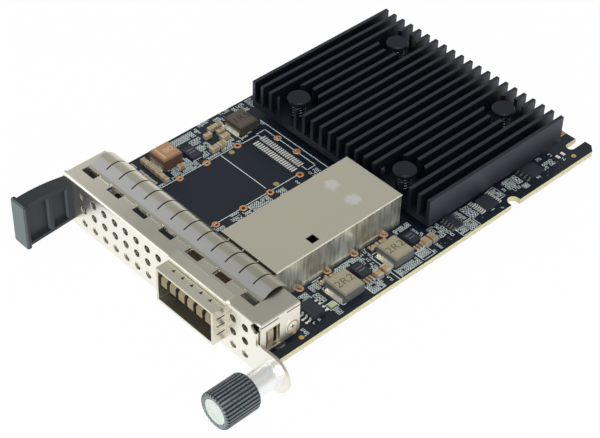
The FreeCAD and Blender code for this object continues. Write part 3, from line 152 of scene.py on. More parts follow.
def solids(node):
    """Low and high corners, in mm, of each separate solid in a node.

    Vertices in the same place share a label, and each triangle passes its least label on until none changes.
    """
    mesh = NODES[node].data
    points = points_mm(mesh)
    mesh.calc_loop_triangles()
    tri = np.zeros(len(mesh.loop_triangles) * 3, int)
    mesh.loop_triangles.foreach_get("vertices", tri)
    label = np.unique(np.round(points, 4), axis=0, return_inverse=True)[1].reshape(-1)[tri].reshape(-1, 3)
    least, before = np.arange(label.max() + 1), None
    while before is None or (least != before).any():
        before = least.copy()
        np.minimum.at(least, label.reshape(-1), np.repeat(before[label].min(1), 3))
    group = least[label[:, 0]]
    corners = points[tri].reshape(-1, 3, 3)
    return [(corners[group == g].min((0, 1)), corners[group == g].max((0, 1))) for g in np.unique(group)]


def mesh_piece(name, shape, look, body="card", smooth=None, weld=False):
    """A piece from its shape, which is points in metres and faces, in one of the finishes, riding on a body.

    smooth is the angle in degrees above which an edge is sharp; weld merges doubles and turns faces
    outwards.
    """
    points, faces = shape
    mesh = bpy.data.meshes.new(name)
    mesh.from_pydata(points, [], faces.tolist() if isinstance(faces, np.ndarray) else faces)
    if weld:
        shell = bmesh.new()
        shell.from_mesh(mesh)
        bmesh.ops.remove_doubles(shell, verts=shell.verts, dist=1e-7)
        bmesh.ops.recalc_face_normals(shell, faces=shell.faces)
        shell.to_mesh(mesh)
        shell.free()
    mesh.update()
    if smooth:
        mesh.shade_smooth()
        mesh.set_sharp_from_angle(angle=math.radians(smooth))
    made = bpy.data.objects.new(name, mesh)
    bpy.context.scene.collection.objects.link(made)
    mesh.materials.append(finish(look))
    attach(made, body)
    return made


def around(x, y, half_x, half_y, *heights):
    """Rows x0, x1, y0, y1 in mm of rectangles round their middles, then z0 and z1 where given."""
    sides = np.broadcast_arrays(x - half_x, x + half_x, y - half_y, y + half_y, *heights)
    return np.stack(sides, -1).reshape(-1, len(sides)).astype(float)


def slabs(boxes):
    """Points and faces of many boxes at once; each row is x0, x1, y0, y1, z0, z1 in mm.

    Corner k of a box takes x from bit 0 of k, y from bit 1 and z from bit 2.
    """
    rows = np.asarray(boxes, float).reshape(-1, 6) * MM
    bits = np.arange(8)
    columns = np.stack([bits & 1, 2 + ((bits >> 1) & 1), 4 + ((bits >> 2) & 1)], 1)
    points = rows[np.arange(len(rows))[:, None, None], columns[None]].reshape(-1, 3)
    sides = np.array([[0, 2, 3, 1], [4, 5, 7, 6], [0, 1, 5, 4], [2, 6, 7, 3], [0, 4, 6, 2], [1, 3, 7, 5]])
    return points, (np.arange(len(rows))[:, None, None] * 8 + sides).reshape(-1, 4)


def flats(rows, z):
    """Points and faces of flat rectangles that face up; each row is x0, x1, y0, y1 in mm, z in metres."""
    rows = np.asarray(rows, float).reshape(-1, 4) * MM
    x = rows[:, [0, 1, 1, 0]]
    y = rows[:, [2, 2, 3, 3]]
    points = np.stack([x, y, np.full_like(x, z)], 2).reshape(-1, 3)
    return points, np.arange(len(points)).reshape(-1, 4)


def discs(centres, radius, z, sides=24):
    """Flat discs that face up: centre + radius (cos t, sin t), in mm, z in metres."""
    centres = np.asarray(centres, float).reshape(-1, 2)
    turn = np.arange(sides) * 2 * math.pi / sides
    flat = (centres[:, None] + np.stack([np.cos(turn), np.sin(turn)], 1) * radius) * MM
    points = np.concatenate([flat, np.full(flat.shape[:2] + (1,), z)], 2).reshape(-1, 3)
    return points, np.arange(len(points)).reshape(-1, sides)


def tube_faces(rows, steps):
    """Faces of a grid of points, row after row, that closes on itself along each row."""
    row, column = np.meshgrid(np.arange(rows - 1) * steps, np.arange(steps), indexing="ij")
    after = (column + 1) % steps
    return np.stack([row + column, row + after, row + steps + after, row + steps + column], 2).reshape(-1, 4)


def turned(profile, centre, axis="y", steps=64, groove=None, depth=None):
    """Turned surface: centre + r (cos t, sin t) across the axis + s along it, from rows r, s in mm.

    groove is a function of t between 0 and 1, depth a length per profile row; r loses their product.
    """
    profile = np.asarray(profile, float)
    turn = np.arange(steps) * 2 * math.pi / steps
    reach = np.repeat(profile[:, :1], steps, 1)
    if groove is not None:
        reach = reach - np.asarray(depth, float)[:, None] * groove(turn)[None]
    along, one, two = np.repeat(profile[:, 1:], steps, 1), np.cos(turn) * reach, np.sin(turn) * reach
    order = {"x": (along, one, two), "y": (one, along, two), "z": (one, two, along)}[axis]
    points = (np.stack(order, 2) + np.asarray(centre, float)).reshape(-1, 3) * MM
    return points, tube_faces(len(profile), steps)


def wound(radius, wire, turns, start, end, centre, sides=8, steps=24):
    """Round-wire spring along Z: a circle of the wire's radius carried along a helix.

    Helix point: centre + radius (cos t, sin t) + (start .. end) up; the circle lies in the plane of the
    outward direction and the upward direction, and each end is closed by one face.
    """
    count = turns * steps + 1
    turn = np.linspace(0, 2 * math.pi * turns, count)
    up = np.array([0.0, 0.0, 1.0])
    out = np.stack([np.cos(turn), np.sin(turn), np.zeros(count)], 1)
    middle = out * radius + np.linspace(start + wire, end - wire, count)[:, None] * up
    angle = (np.arange(sides) * 2 * math.pi / sides)[None, :, None]
    ring = middle[:, None] + wire * (np.cos(angle) * out[:, None] + np.sin(angle) * up)
    points = (ring + np.asarray(centre, float)).reshape(-1, 3) * MM
    caps = [list(range(sides)), list(range((count - 1) * sides, count * sides))]
    return points, tube_faces(count, sides).tolist() + caps


def gathered(parts):
    """Joins several (points, faces) pairs into one pair."""
    points, faces, count = [], [], 0
    for these, sides in parts:
        points.append(these)
        faces += [[index + count for index in face] for face in np.asarray(sides, object).tolist()]
        count += len(these)
    return np.concatenate(points), faces


# ---------------------------------------------------------------- materials

def facing(add, axis, sign, low=0.6, high=0.85):
    """1 on faces whose normal points along sign times the axis, 0 on the others."""
    normal = add("NewGeometry", {}, "Normal")
    part = add("SeparateXYZ", {0: normal}, axis)
    toward = add("Math", {0: part, 1: sign}, operation="MULTIPLY")
    return add("MapRange", {0: toward, 1: low, 2: high})


def solder_mask():
    """Glass-epoxy laminate under screened black solder mask: satin, faint copper runs, cream edges."""
    material, add, place = new_material("solder_mask_on_glass_epoxy")
    runs_mm, areas_mm, plies_mm = 3.2, 16, 0.3
    steps = add("VectorMath", {0: place, "Scale": 1 / (runs_mm * MM)}, operation="SCALE")
    steps = add("TexVoronoi", {"Vector": steps, "Scale": 1.0}, "Distance", distance="MANHATTAN")
    runs = add("Math", {0: steps, 1: 34.0}, operation="MULTIPLY")
    runs = add("Math", {0: runs}, operation="SINE")
    runs = add("MapRange", {0: runs, 1: 0.6, 2: 0.9})
    area = add("TexNoise", {"Vector": place, "Scale": 1 / (areas_mm * MM), "Detail": 1.0})
    area = add("MapRange", {0: area, 1: 0.45, 2: 0.65, 4: 0.6})
    trace = add("Math", {0: runs, 1: area}, operation="MULTIPLY")
    mask = colours().mask
    mask = add("Mix", {0: trace, 6: shade(mask, 1), 7: shade(mask, 1.5)}, **BLEND)
    up = add("SeparateXYZ", {0: add("NewGeometry", {}, "Normal")}, 2)
    level = add("Math", {0: up}, operation="ABSOLUTE")
    cut = add("MapRange", {0: level, 1: 0.4, 2: 0.6, 3: 1.0, 4: 0.0})
    plies = add("TexNoise", {"Vector": place, "Scale": 1 / (plies_mm * MM), "Detail": 1.0})
    edge = add("Mix", {0: plies, 6: linear("#b9b07e"), 7: linear("#f0edc9")}, **BLEND)
    tone = add("Mix", {0: cut, 6: mask, 7: edge}, **BLEND)
    bump = add("Bump", {"Height": trace, "Distance": 0.01 * MM, "Strength": 0.4})
    shader = add("BsdfPrincipled", {"Base Color": tone, "Normal": bump, "Roughness": 0.36, "IOR": 1.5,
                                    "Specular IOR Level": 0.3})
    add("OutputMaterial", {0: shader})
    return material


def metal(name, low, high, roughness, spread=0.03, cloud_mm=9.0, share=1.0, brush_mm=None, along=(1, 1, 1),
          depth=0.002):
    """Bare or plated metal: its tone drifts over cloud_mm, and fine brush lines spread its roughness.

    brush_mm is the space between brush lines, drawn coarser than real ones so that they show. share is the
    part that shines as metal, where oxide or flux dulls the rest.
    """
    material, add, place = new_material(name)
    cloud = add("TexNoise", {"Vector": place, "Scale": 1 / (cloud_mm * MM), "Detail": 2.0})
    tone = add("Mix", {0: cloud, 6: linear(low), 7: linear(high)}, **BLEND)
    scale = [part / ((brush_mm or 0.5) * MM) for part in along]
    brush = add("VectorMath", {0: place, 1: scale}, operation="MULTIPLY")
    brush = add("TexNoise", {"Vector": brush, "Scale": 1.0, "Detail": 2.0})
    rough = add("MapRange", {0: brush, 1: 0.3, 2: 0.7, 3: roughness - spread, 4: roughness + spread})
    look = {"Base Color": tone, "Metallic": share, "Roughness": rough}
    if brush_mm:
        look["Normal"] = add("Bump", {"Height": brush, "Distance": depth * MM, "Strength": 0.5})
    add("OutputMaterial", {0: add("BsdfPrincipled", look)})
    return material


def moulded(name, low, high, roughness, grain_mm=0.4, depth=0.002, level=0.2, tint="#ffffff", other=None,
            axis=2, sign=1.0):
    """Moulded, pressed, fired or anodised dull surface: two close tones with a fine grain that roughens it.

    level is the strength of its sheen and tint the sheen's colour; other is a third tone, for the faces that
    look along sign times the axis: painted light or painted shade on that side.
    """
    material, add, place = new_material(name)
    grain = add("TexNoise", {"Vector": place, "Scale": 1 / (grain_mm * MM), "Detail": 3.0})
    spots = add("MapRange", {0: grain, 1: 0.35, 2: 0.65})
    low, high = [tone if isinstance(tone, tuple) else linear(tone) for tone in (low, high)]
    tone = add("Mix", {0: spots, 6: low, 7: high}, **BLEND)
    if other:
        side = facing(add, axis, sign)
        tone = add("Mix", {0: side, 6: tone, 7: linear(other)}, **BLEND)
    bump = add("Bump", {"Height": grain, "Distance": depth * MM, "Strength": 0.6})
    shader = add("BsdfPrincipled", {"Base Color": tone, "Normal": bump, "Roughness": roughness, "IOR": 1.5,
                                    "Specular IOR Level": level, "Specular Tint": linear(tint)})
    add("OutputMaterial", {0: shader})
    return material


def folded_sheet(name, low, high, roughness, front, tops, end, bead_mm=20.0, edge_mm=None):
    """Thin plated sheet with painted shade on its upward faces, growing from the left end of the bracket to end of
    X in mm.

    low and high are the sheet's two close tones; front is a paler tone painted on the faces that lean forwards,
    a painted reflection; tops are the shares of light that the upward faces keep at the start and at the end, a
    painted shade; what stands higher than bead_mm keeps more of it, a painted highlight on the bead. Edges are
    worn round by edge_mm, so that they catch a thin light.
    """
    material, add, place = new_material(name)
    start = -34.0
    cloud = add("TexNoise", {"Vector": place, "Scale": 1 / (16 * MM), "Detail": 1.0})
    tone = add("Mix", {0: cloud, 6: linear(low), 7: linear(high)}, **BLEND)
    # Painted reflection: faces that lean forwards take the paler front tone.
    lean = facing(add, 1, -1.0, 0.12, 0.25)
    tone = add("Mix", {0: lean, 6: tone, 7: linear(front)}, **BLEND)
    x, _, z = add("SeparateXYZ", {0: place}).node.outputs
    # Painted shade: upward faces keep less light towards end; above bead_mm a painted highlight keeps more.
    kept = add("MapRange", {0: x, 1: start * MM, 2: end * MM, 3: tops[0], 4: tops[1]})
    flange = add("MapRange", {0: z, 1: bead_mm * MM, 2: (bead_mm + 0.3) * MM, 3: 1.0, 4: 0.7})
    up = add("Math", {0: facing(add, 2, 1.0, 0.6, 0.9), 1: flange}, operation="MULTIPLY")
    kept = add("Mix", {0: up, 2: 1.0, 3: kept})
    painted_shade_tone = add("VectorMath", {0: tone, "Scale": kept}, operation="SCALE")
    grain = add("TexNoise", {"Vector": place, "Scale": 1 / (0.5 * MM), "Detail": 2.0})
    bump = {"Height": grain, "Distance": 0.0012 * MM, "Strength": 0.5}
    if edge_mm:
        bump["Normal"] = add("Bevel", {"Radius": edge_mm * MM}, samples=6)
    shader = add("BsdfPrincipled", {"Base Color": painted_shade_tone, "Normal": add("Bump", bump), "Metallic": 1.0,
                                    "Roughness": roughness})
    add("OutputMaterial", {0: shader})
    return material


def ribbed_nylon():
    """Moulded slate nylon of the knob: painted highlights on its ribs' crests and its front rim, broken by a
    speckle; the grooves keep the dark slate.
    """
    material, add, place = new_material("slate_moulded_nylon")
    low, high = box_mm("thumbscrew_knob")
    radius = (high[2] - low[2]) / 2 * MM
    flat = add("VectorMath", {0: place, 1: (-SCREW_X * MM, 0, 0)})
    flat = add("VectorMath", {0: flat, 1: (1, 0, 1)}, operation="MULTIPLY")
    reach = add("VectorMath", {0: flat}, "Value", operation="LENGTH")
    # Painted highlight on the ribs' crests, broken by the speckle below.
    crest = add("MapRange", {0: reach, 1: radius - 0.07 * MM, 2: radius, 4: 0.5})
    worn = add("TexNoise", {"Vector": place, "Scale": 1 / (0.35 * MM), "Detail": 2.0})
    worn = add("MapRange", {0: worn, 1: 0.35, 2: 0.65, 3: 0.3})
    crest = add("Math", {0: crest, 1: worn}, operation="MULTIPLY")
    # Painted highlight on the forward-facing rim, broken by the same speckle.
    rim = add("Math", {0: facing(add, 1, -1.0), 1: worn}, operation="MULTIPLY")
    pale = add("Math", {0: crest, 1: rim}, operation="MAXIMUM")
    tone = add("Mix", {0: pale, 6: shade(colours().knob, 1), 7: linear("#8b979c")}, **BLEND)
    shader = add("BsdfPrincipled", {"Base Color": tone, "Roughness": 0.3, "Specular IOR Level": 0.6})
    add("OutputMaterial", {0: shader})
    return material


def can_sheet():
    """Nickel-silver sheet of the cage: flat and even on top, drawn into fine upright streaks on its walls.

    Two patches of the top are whiter, with ragged edges. On the walls only the streaks' bump is the drawn grain;
    their dark and pale tones are a painted reflection.
    """
    material, add, place = new_material("nickel_silver_sheet")
    patches, top_z = ((10.2, -68.6), (17.6, -68.6)), box_mm("cage_shell")[1][2]
    cloud = add("TexNoise", {"Vector": place, "Scale": 1 / (22 * MM), "Detail": 1.0})
    ragged_noise = add("TexNoise", {"Vector": place, "Scale": 1 / (1.6 * MM), "Detail": 3.0})
    # Two whiter patches on the top, with ragged edges.
    pale_patches = 0.0
    for x, y in patches:
        apart = add("VectorMath", {0: place, 1: Vector((x, y, top_z)) * MM}, "Value", operation="DISTANCE")
        loose = add("Math", {0: ragged_noise, 1: 3.2 * MM, 2: apart}, operation="MULTIPLY_ADD")
        spot = add("MapRange", {0: loose, 1: 3.0 * MM, 2: 3.9 * MM, 3: 0.75, 4: 0.0})
        pale_patches = add("Math", {0: pale_patches, 1: spot}, operation="MAXIMUM")
    wall = add("Math", {0: 1.0, 1: facing(add, 2, 1.0, 0.3, 0.7)}, operation="SUBTRACT")
    behind = add("MapRange", {0: add("SeparateXYZ", {0: place}, 1), 1: -113 * MM, 2: -111 * MM})
    wall = add("Math", {0: wall, 1: behind}, operation="MULTIPLY")
    # Upright streaks on the walls: bumped as drawn grain, coloured as a painted reflection.
    rows = add("VectorMath", {0: place, 1: [a / MM for a in (1.1, 1.1, 0.16)]}, operation="MULTIPLY")
    streak = add("TexNoise", {"Vector": rows, "Scale": 1.0, "Detail": 4.0, "Distortion": 0.6})
    band = add("MapRange", {0: streak, 1: 0.35, 2: 0.65})
    top = add("Mix", {0: cloud, 6: linear("#dedbcb"), 7: linear("#e6e3d3")}, **BLEND)
    side = add("Mix", {0: band, 6: linear("#b7b6a3"), 7: linear("#f6f5ee")}, **BLEND)
    top = add("Mix", {0: pale_patches, 6: top, 7: linear("#ffffff")}, **BLEND)
    tone = add("Mix", {0: wall, 6: top, 7: side}, **BLEND)
    share = add("MapRange", {0: wall, 3: 1.0, 4: 0.8})
    drawn = add("Math", {0: streak, 1: wall}, operation="MULTIPLY")
    bump = add("Bump", {"Height": drawn, "Distance": 0.12 * MM, "Strength": 1.0})
    shader = add("BsdfPrincipled", {"Base Color": tone, "Normal": bump, "Metallic": share, "Roughness": 0.3})
    add("OutputMaterial", {0: shader})
    return material


def shade(colour, share):
    """A colour of the settings, times a share, as RGBA."""
    return tuple(part * share for part in colour) + (1.0,)


def colours():
    """The colours of the settings."""
    return bpy.context.scene.card_colours


# Each slot's material: how it is made, and what that gives the eye, painted light or shade where its comment
# says so. A dull surface has two tones and a roughness, then its grain's size and depth in mm and its sheen's
# strength; a metal has two tones, a roughness and how far that spreads, then its clouds' size in mm and the
# share that shines.
FINISHES = {
    # Black-masked laminate with routed cream edges.
    "laminate": solder_mask,
    # Hard gold electroplated on the card edge: warm, nearly mirror-like.
    "gold": lambda: metal("hard_gold_plating", "#d9ab4a", "#f0cd7a", 0.3, share=0.8),
    # Copper ring round a plated hole, under clear flux: pale orange, half dulled.
    "copper": lambda: metal("fluxed_copper_ring", "#b98058", "#dcaa80", 0.45, 0.05, 1.5, 0.35),
    # Nickel-plated steel sheet, stamped and folded: even satin, with a painted reflection on its forward faces,
    # painted shade on its upward faces that grows towards the right, and a painted highlight on the bead.
    "bracket_steel": lambda: folded_sheet("nickel_plated_steel_sheet", "#ebe7da", "#f4f1e6", 0.33, "#f6f3e8",
                                          (1.1, 0.69), -6.0, 10.6, 0.2),
    # Copper alloy strip, rolled and nickel plated: smooth, with a faintly blue painted reflection on its forward
    # faces and painted shade on its upward faces that grows towards the right.
    "spring_steel": lambda: folded_sheet("rolled_copper_alloy_strip", "#cfccbd", "#dcd9cb", 0.28, "#eceef0",
                                         (1.0, 0.75), 24.0),
    # The port's inner fingers: the same strip, darkened to tan as painted shade inside the port.
    "port_finger_steel": lambda: metal("painted_shade_copper_alloy", "#7f7459", "#a89b7c", 0.4, 0.05, 3, 0.7),
    # The side window's leaf spring: its tones darkened to tan and cream as painted shade in the window, drifting
    # in clouds.
    "leaf_spring": lambda: metal("painted_shade_leaf_spring", "#8d8067", "#c4b89c", 0.35, 0.05, 2, 0.6),
    # Tinned copper clips of the inductors: bright, mirroring the dark board and the pale room.
    "tinned_clip": lambda: metal("tinned_copper_clip", "#d6d3c8", "#f0eee6", 0.22, 0.05, 1.5, 0.85),
    # Fired silver-tin bands on the capacitors' ends: pale, dulled.
    "fired_end": lambda: metal("fired_tin_band", "#bdb9ad", "#dbd8cf", 0.35, 0.05, 1.2, 0.5),
    # Thick plated steel of the feet, darkened as painted shade under the bracket.
    "foot_steel": lambda: metal("painted_shade_plated_steel", "#85837a", "#98958b", 0.4, 0.03, 4),
    # Turned and nickel-plated steel: bright, with fine lines along the bar.
    "bright_steel": lambda: metal("nickel_plated_turned_steel", "#eef2f3", "#fcfdfe", 0.3, 0.04, 2.5, 0.8,
                                  0.6, (3, 0.1, 3), 0.004),
    # Nickel-silver sheet of the cage.
    "cage_steel": can_sheet,
    # Black anodised aluminium extrusion: near black with a soft blue sheen; painted shade on the fins' tops.
    "black_anodised": lambda: moulded("black_anodised_aluminium", shade(colours().anodised, 0.9),
                                      shade(colours().anodised, 1.1), 0.4, level=0.85, tint="#c9d3ef",
                                      other="#0a0e16"),
    # Glass-filled nylon, moulded: dull charcoal with a fine grain.
    "black_plastic": lambda: moulded("black_glass_filled_nylon", "#11151c", "#171c24", 0.4, 0.3, 0.003, 0.3,
                                     "#c9d3ef"),
    # The pull tab's nylon: blue-black, paler where the front plate catches the light.
    "tab_plastic": lambda: moulded("slate_filled_nylon", "#23282e", "#2a3037", 0.5, 0.3, 0.006, 0.4,
                                   other="#6f7b7f", axis=1, sign=-1.0),
    # Moulded nylon of the knob: dark slate, with painted highlights on its ribs' crests and on its rim in front.
    "knob_plastic": ribbed_nylon,
    # Printed plastic disc in the knob: matt, faintly green white.
    "pale_plastic": lambda: moulded("matt_printed_disc", "#dfece6", "#eaf3ee", 0.6, 2.5, 0.0, 0.3),
    # Black-oxided spring wire: dark with sharp glints.
    "black_steel": lambda: metal("black_oxide_wire", "#55585d", "#686b70", 0.2),
    # Epoxy moulding compound of the chips: flat near-black.
    "chip_plastic": lambda: moulded("epoxy_moulding_compound", "#292d37", "#323741", 0.5, 0.25, 0.006, 0.35),
    # Pressed iron powder composite of the inductors: dull grey walls, with beige painted light on top.
    "ferrite": lambda: moulded("pressed_iron_composite", "#5b5d5c", "#666866", 0.6, 0.25, 0.006, 0.35,
                               other="#a09882"),
    # The same composite, darker and browner, with paler painted light on top.
    "dark_ferrite": lambda: moulded("dark_iron_composite", "#3d3933", "#46413a", 0.6, 0.25, 0.006, 0.3,
                                    other="#57524a"),
    # The same composite tinted with copper, with paler painted light on top.
    "copper_ferrite": lambda: moulded("copper_tinted_composite", "#594136", "#66493b", 0.5, 0.25, 0.006,
                                      0.35, other="#a98365"),
    # Fired barium-titanate ceramic of the capacitors: pale tan, slightly glossy.
    "ceramic_tan": lambda: moulded("fired_ceramic", "#9c8057", "#b99e78", 0.4, 1.2, 0.003, 0.4),
    # Reflowed tin solder: bright, half dulled by flux.
    "solder": lambda: metal("reflowed_tin_solder", "#f0f0ec", "#fbfbf8", 0.3, 0.05, 3, 0.45, 0.4,
                            depth=0.01),
    # Silicone gap pad: matt grey.
    "thermal_gel": lambda: moulded("silicone_gap_pad", "#7d8187", "#94989e", 0.7, 0.5, 0.01, 0.3),
    # Screen-printed epoxy ink: matt blue-white, slightly uneven.
    "ink": lambda: moulded("screen_printed_ink", shade(colours().ink, 0.85), shade(colours().ink, 1), 0.6,
                           0.5, level=0.3),
    # Near black painted shade: the band on the cage behind the strip, and the sheet under the fingers.
    "painted_shade_black": lambda: moulded("painted_shade_black_sheet", "#1c1c19", "#2c2b27", 0.9, 0.2, 0.02, 0.1),
    # Marks on moulded parts: laser-engraved, pressed in, pressed in the darker body, and printed pale.
    "faint_mark": lambda: moulded("laser_marking", "#70747f", "#8b8e99", 0.6),
    "dark_mark": lambda: moulded("engraved_marking", "#665d4f", "#706656", 0.7),
    "engraved": lambda: moulded("dark_engraved_marking", "#37332d", "#3f3a33", 0.7),
    "pale_mark": lambda: moulded("pale_pad_printing", "#ccab8d", "#d9bb9e", 0.6),
    # Pressed rivet head: even cream nickel, and a tan ring on it.
    "rivet": lambda: metal("burnished_rivet", "#e6e0d0", "#eee9da", 0.4, share=0.5),
    "rivet_ring": lambda: moulded("tan_rivet_ring", "#a88f73", "#b59d82", 0.5, level=0.4),
    # A painted highlight along the can's folded top right edge.
    "edge_highlight": lambda: moulded("painted_highlight_fold", "#d9d6c6", "#e6e3d5", 0.35, 3.0, 0.0, 0.6),
    # Dark brown behind the side window and under the collar.
    "shade_brown": lambda: moulded("shaded_brown_inside", "#2b2018", "#3a2c20", 0.7),
    # Copper wall inside a drilled hole: copper brown, darkened further as painted shade.
    "hole_shade": lambda: moulded("shaded_copper_bore", "#5a1f0c", "#7a3216", 0.5, 0.3, 0.004, 0.3),
    # Bare alignment pad under flux: dull olive gold.
    "olive": lambda: moulded("fluxed_gold_pad", "#837c58", "#a39a70", 0.4, level=0.5),
    # Clear yellowish lens of the indicator.
    "lens": lambda: moulded("yellow_phosphor_lens", "#aeb58c", "#c3c9a2", 0.35, 0.5, level=0.5),
}


@cache
def finish(slot):
    """The material of a slot, made once."""
    return FINISHES[slot]()


# ---------------------------------------------------------------- settings

def length(name, description, default, least):
    """A length among the settings."""
    return bpy.props.FloatProperty(name=name, description=description, default=default, min=least,
                                   unit="LENGTH")


def power(name, description, default):
    """A lamp's power among the settings."""
    return bpy.props.FloatProperty(name=name, description=description, default=default, min=0, unit="POWER")


def point(name, description, default):
    """A place among the settings."""
    return bpy.props.FloatVectorProperty(name=name, description=description, default=default,
                                         subtype="TRANSLATION", unit="LENGTH")


def colour(name, description, code):
    """A colour among the settings, from its sRGB hex code."""
    return bpy.props.FloatVectorProperty(name=name, description=description, default=linear(code)[:3],
                                         subtype="COLOR", min=0, max=1)


class CardStage(bpy.types.PropertyGroup):
    """Camera, lamps and floor."""

    lens: bpy.props.FloatProperty(name="Lens", description="Focal length on a 36 mm sensor", default=99.863,
                                  min=20, max=300, subtype="DISTANCE_CAMERA")
    eye: point("Eye", "Place of the camera", (0.2243307, -0.2870304, 0.2744188))
    aim: point("Aim", "Point on the board that the camera looks at", (0.0066533, -0.0754542, 0.0))
    roll: bpy.props.FloatProperty(name="Roll", description="Turn of the camera about its line of sight",
                                  default=math.radians(1.638), subtype="ANGLE")
    key_power: power("Key lamp", "Power of the large overhead lamp", 4.7)
    fill_power: power("Fill lamps", "Power of each lamp in front", 1.2)
    floor_drop: length("Floor drop", "Gap between the lowest point and the floor", 0.0001, 0)


class CardColours(bpy.types.PropertyGroup):
    """Main colours of the card."""

    mask: colour("Solder mask", "Colour of the board's face", "#18202c")
    ink: colour("Print", "Colour of the board's printed marks", "#dbe9ea")
    anodised: colour("Heat sink", "Colour of the anodised heat sink", "#0d1018")
    knob: colour("Knob", "Colour of the thumbscrew's knob", "#343c44")


class CardTrim(bpy.types.PropertyGroup):
    """Sizes of the small trim."""

    line_width: length("Line width", "Width of a printed line", 0.00022, 0.00005)
    glyph_height: length("Mark height", "Height of a small printed mark", 0.0009, 0.0003)
    thread_pitch: length("Thread pitch", "Pitch of the thumbscrew's thread", 0.0005, 0.0002)
    knurls: bpy.props.IntProperty(name="Knurls", description="Grooves round the knob", default=32, min=6,
                                  max=80)
    spring_wire: length("Spring wire", "Diameter of a push pin spring's wire", 0.00045, 0.0001)
    finger_pitch: length("Finger pitch", "Distance between spring fingers", 0.00485, 0.002)
    finger_slit: length("Finger slit", "Gap between two spring fingers", 0.00038, 0.0001)


# ---------------------------------------------------------------- printed board

def lines(rows, width):
    """Straight printed lines as rectangles: each row is x0, y0, x1, y1 in mm, along X or along Y."""
    rows = np.asarray(rows, float).reshape(-1, 4)
    low = np.minimum(rows[:, :2], rows[:, 2:]) - width / 2
    high = np.maximum(rows[:, :2], rows[:, 2:]) + width / 2
    return np.stack([low[:, 0], high[:, 0], low[:, 1], high[:, 1]], 1)


def frames(rows, width):
    """Outlines of rectangles, four lines each; each row is x0, x1, y0, y1 in mm."""
    x0, x1, y0, y1 = np.asarray(rows, float).reshape(-1, 4).T
    return np.concatenate([lines(np.stack(side, 1), width) for side in
                           ((x0, y0, x1, y0), (x0, y1, x1, y1), (x0, y0, x0, y1), (x1, y0, x1, y1))])


def middles(rng, field, size, pitch, fill, slack=0.05):
    """Middles of the cells that fit in a field x0, x1, y0, y1; seeded draws keep the share fill of them."""
    x0, x1, y0, y1 = field
    cols = np.arange(x0 + size[0] / 2, x1 - size[0] / 2 + slack, pitch[0])
    rows = np.arange(y0 + size[1] / 2, y1 - size[1] / 2 + slack, pitch[1])
    cx, cy = [grid.reshape(-1) for grid in np.meshgrid(cols, rows, indexing="ij")]
    keep = rng.random(len(cx)) < fill
    return cx[keep], cy[keep]


def marks(field, seed, tall, stroke=0.17):
    """Small reference marks in a field: cells along Y, each with a few of the seven strokes of a digit.

    A stroke is kept where a seeded random number is low, so that each cell differs.
    """
    rng = np.random.default_rng(seed)
    wide = tall * 0.62
    cx, cy = middles(rng, field, (tall, wide), (tall * 1.32, wide * 1.38), 0.9, 1e-6)
    h, w = tall / 2, wide / 2
    bars = np.array([[-h, -w, -h, w], [0, -w, 0, w], [h, -w, h, w],
                     [-h, -w, 0, -w], [0, -w, h, -w], [-h, w, 0, w], [0, w, h, w]])
    strokes = np.stack([cx, cy, cx, cy], 1)[:, None, :] + bars[None]
    return lines(strokes[rng.random(strokes.shape[:2]) < 0.62], stroke)


def cells(field, seed, pitch, fill):
    """Rows of small outlined cells: printed outlines of parts packed side by side, a few of them missing."""
    rng = np.random.default_rng(seed)
    cx, cy = middles(rng, field, pitch, pitch, fill)
    half = np.array(pitch) * rng.uniform(0.3, 0.42, (len(cx), 2))
    return frames(around(cx, cy, half[:, 0], half[:, 1]), 0.19)


def crowd(field, seed, pitch=(1.15, 1.75)):
    """Small chip parts, one per cell of a field: capacitors, resistors, end caps and printed outlines.

    Each middle moves a little, and a seeded random number says whether the part is a resistor.
    """
    rng = np.random.default_rng(seed)
    cx, cy = middles(rng, field, pitch, pitch, 0.85)
    cx, cy = cx + rng.uniform(-0.05, 0.05, len(cx)), cy + rng.uniform(-0.1, 0.1, len(cx))
    dark = rng.random(len(cx)) < 0.35
    body, ends = chip(cx, cy, 0.27, 0.3)
    return body[~dark], body[dark], ends, frames(around(cx, cy, 0.47, 0.7), 0.17)


def chip(x, y, half, reach):
    """Bodies and end caps, in mm, of chip parts that lie along Y; each cap wraps its end by a little."""
    tall, wrap, cap = half * 1.3, 0.02, 0.14
    ends = [around(x, y + side * (reach + 0.1), half + wrap, cap, 0, tall + wrap) for side in (-1, 1)]
    return around(x, y, half, reach, 0, tall), np.concatenate(ends)


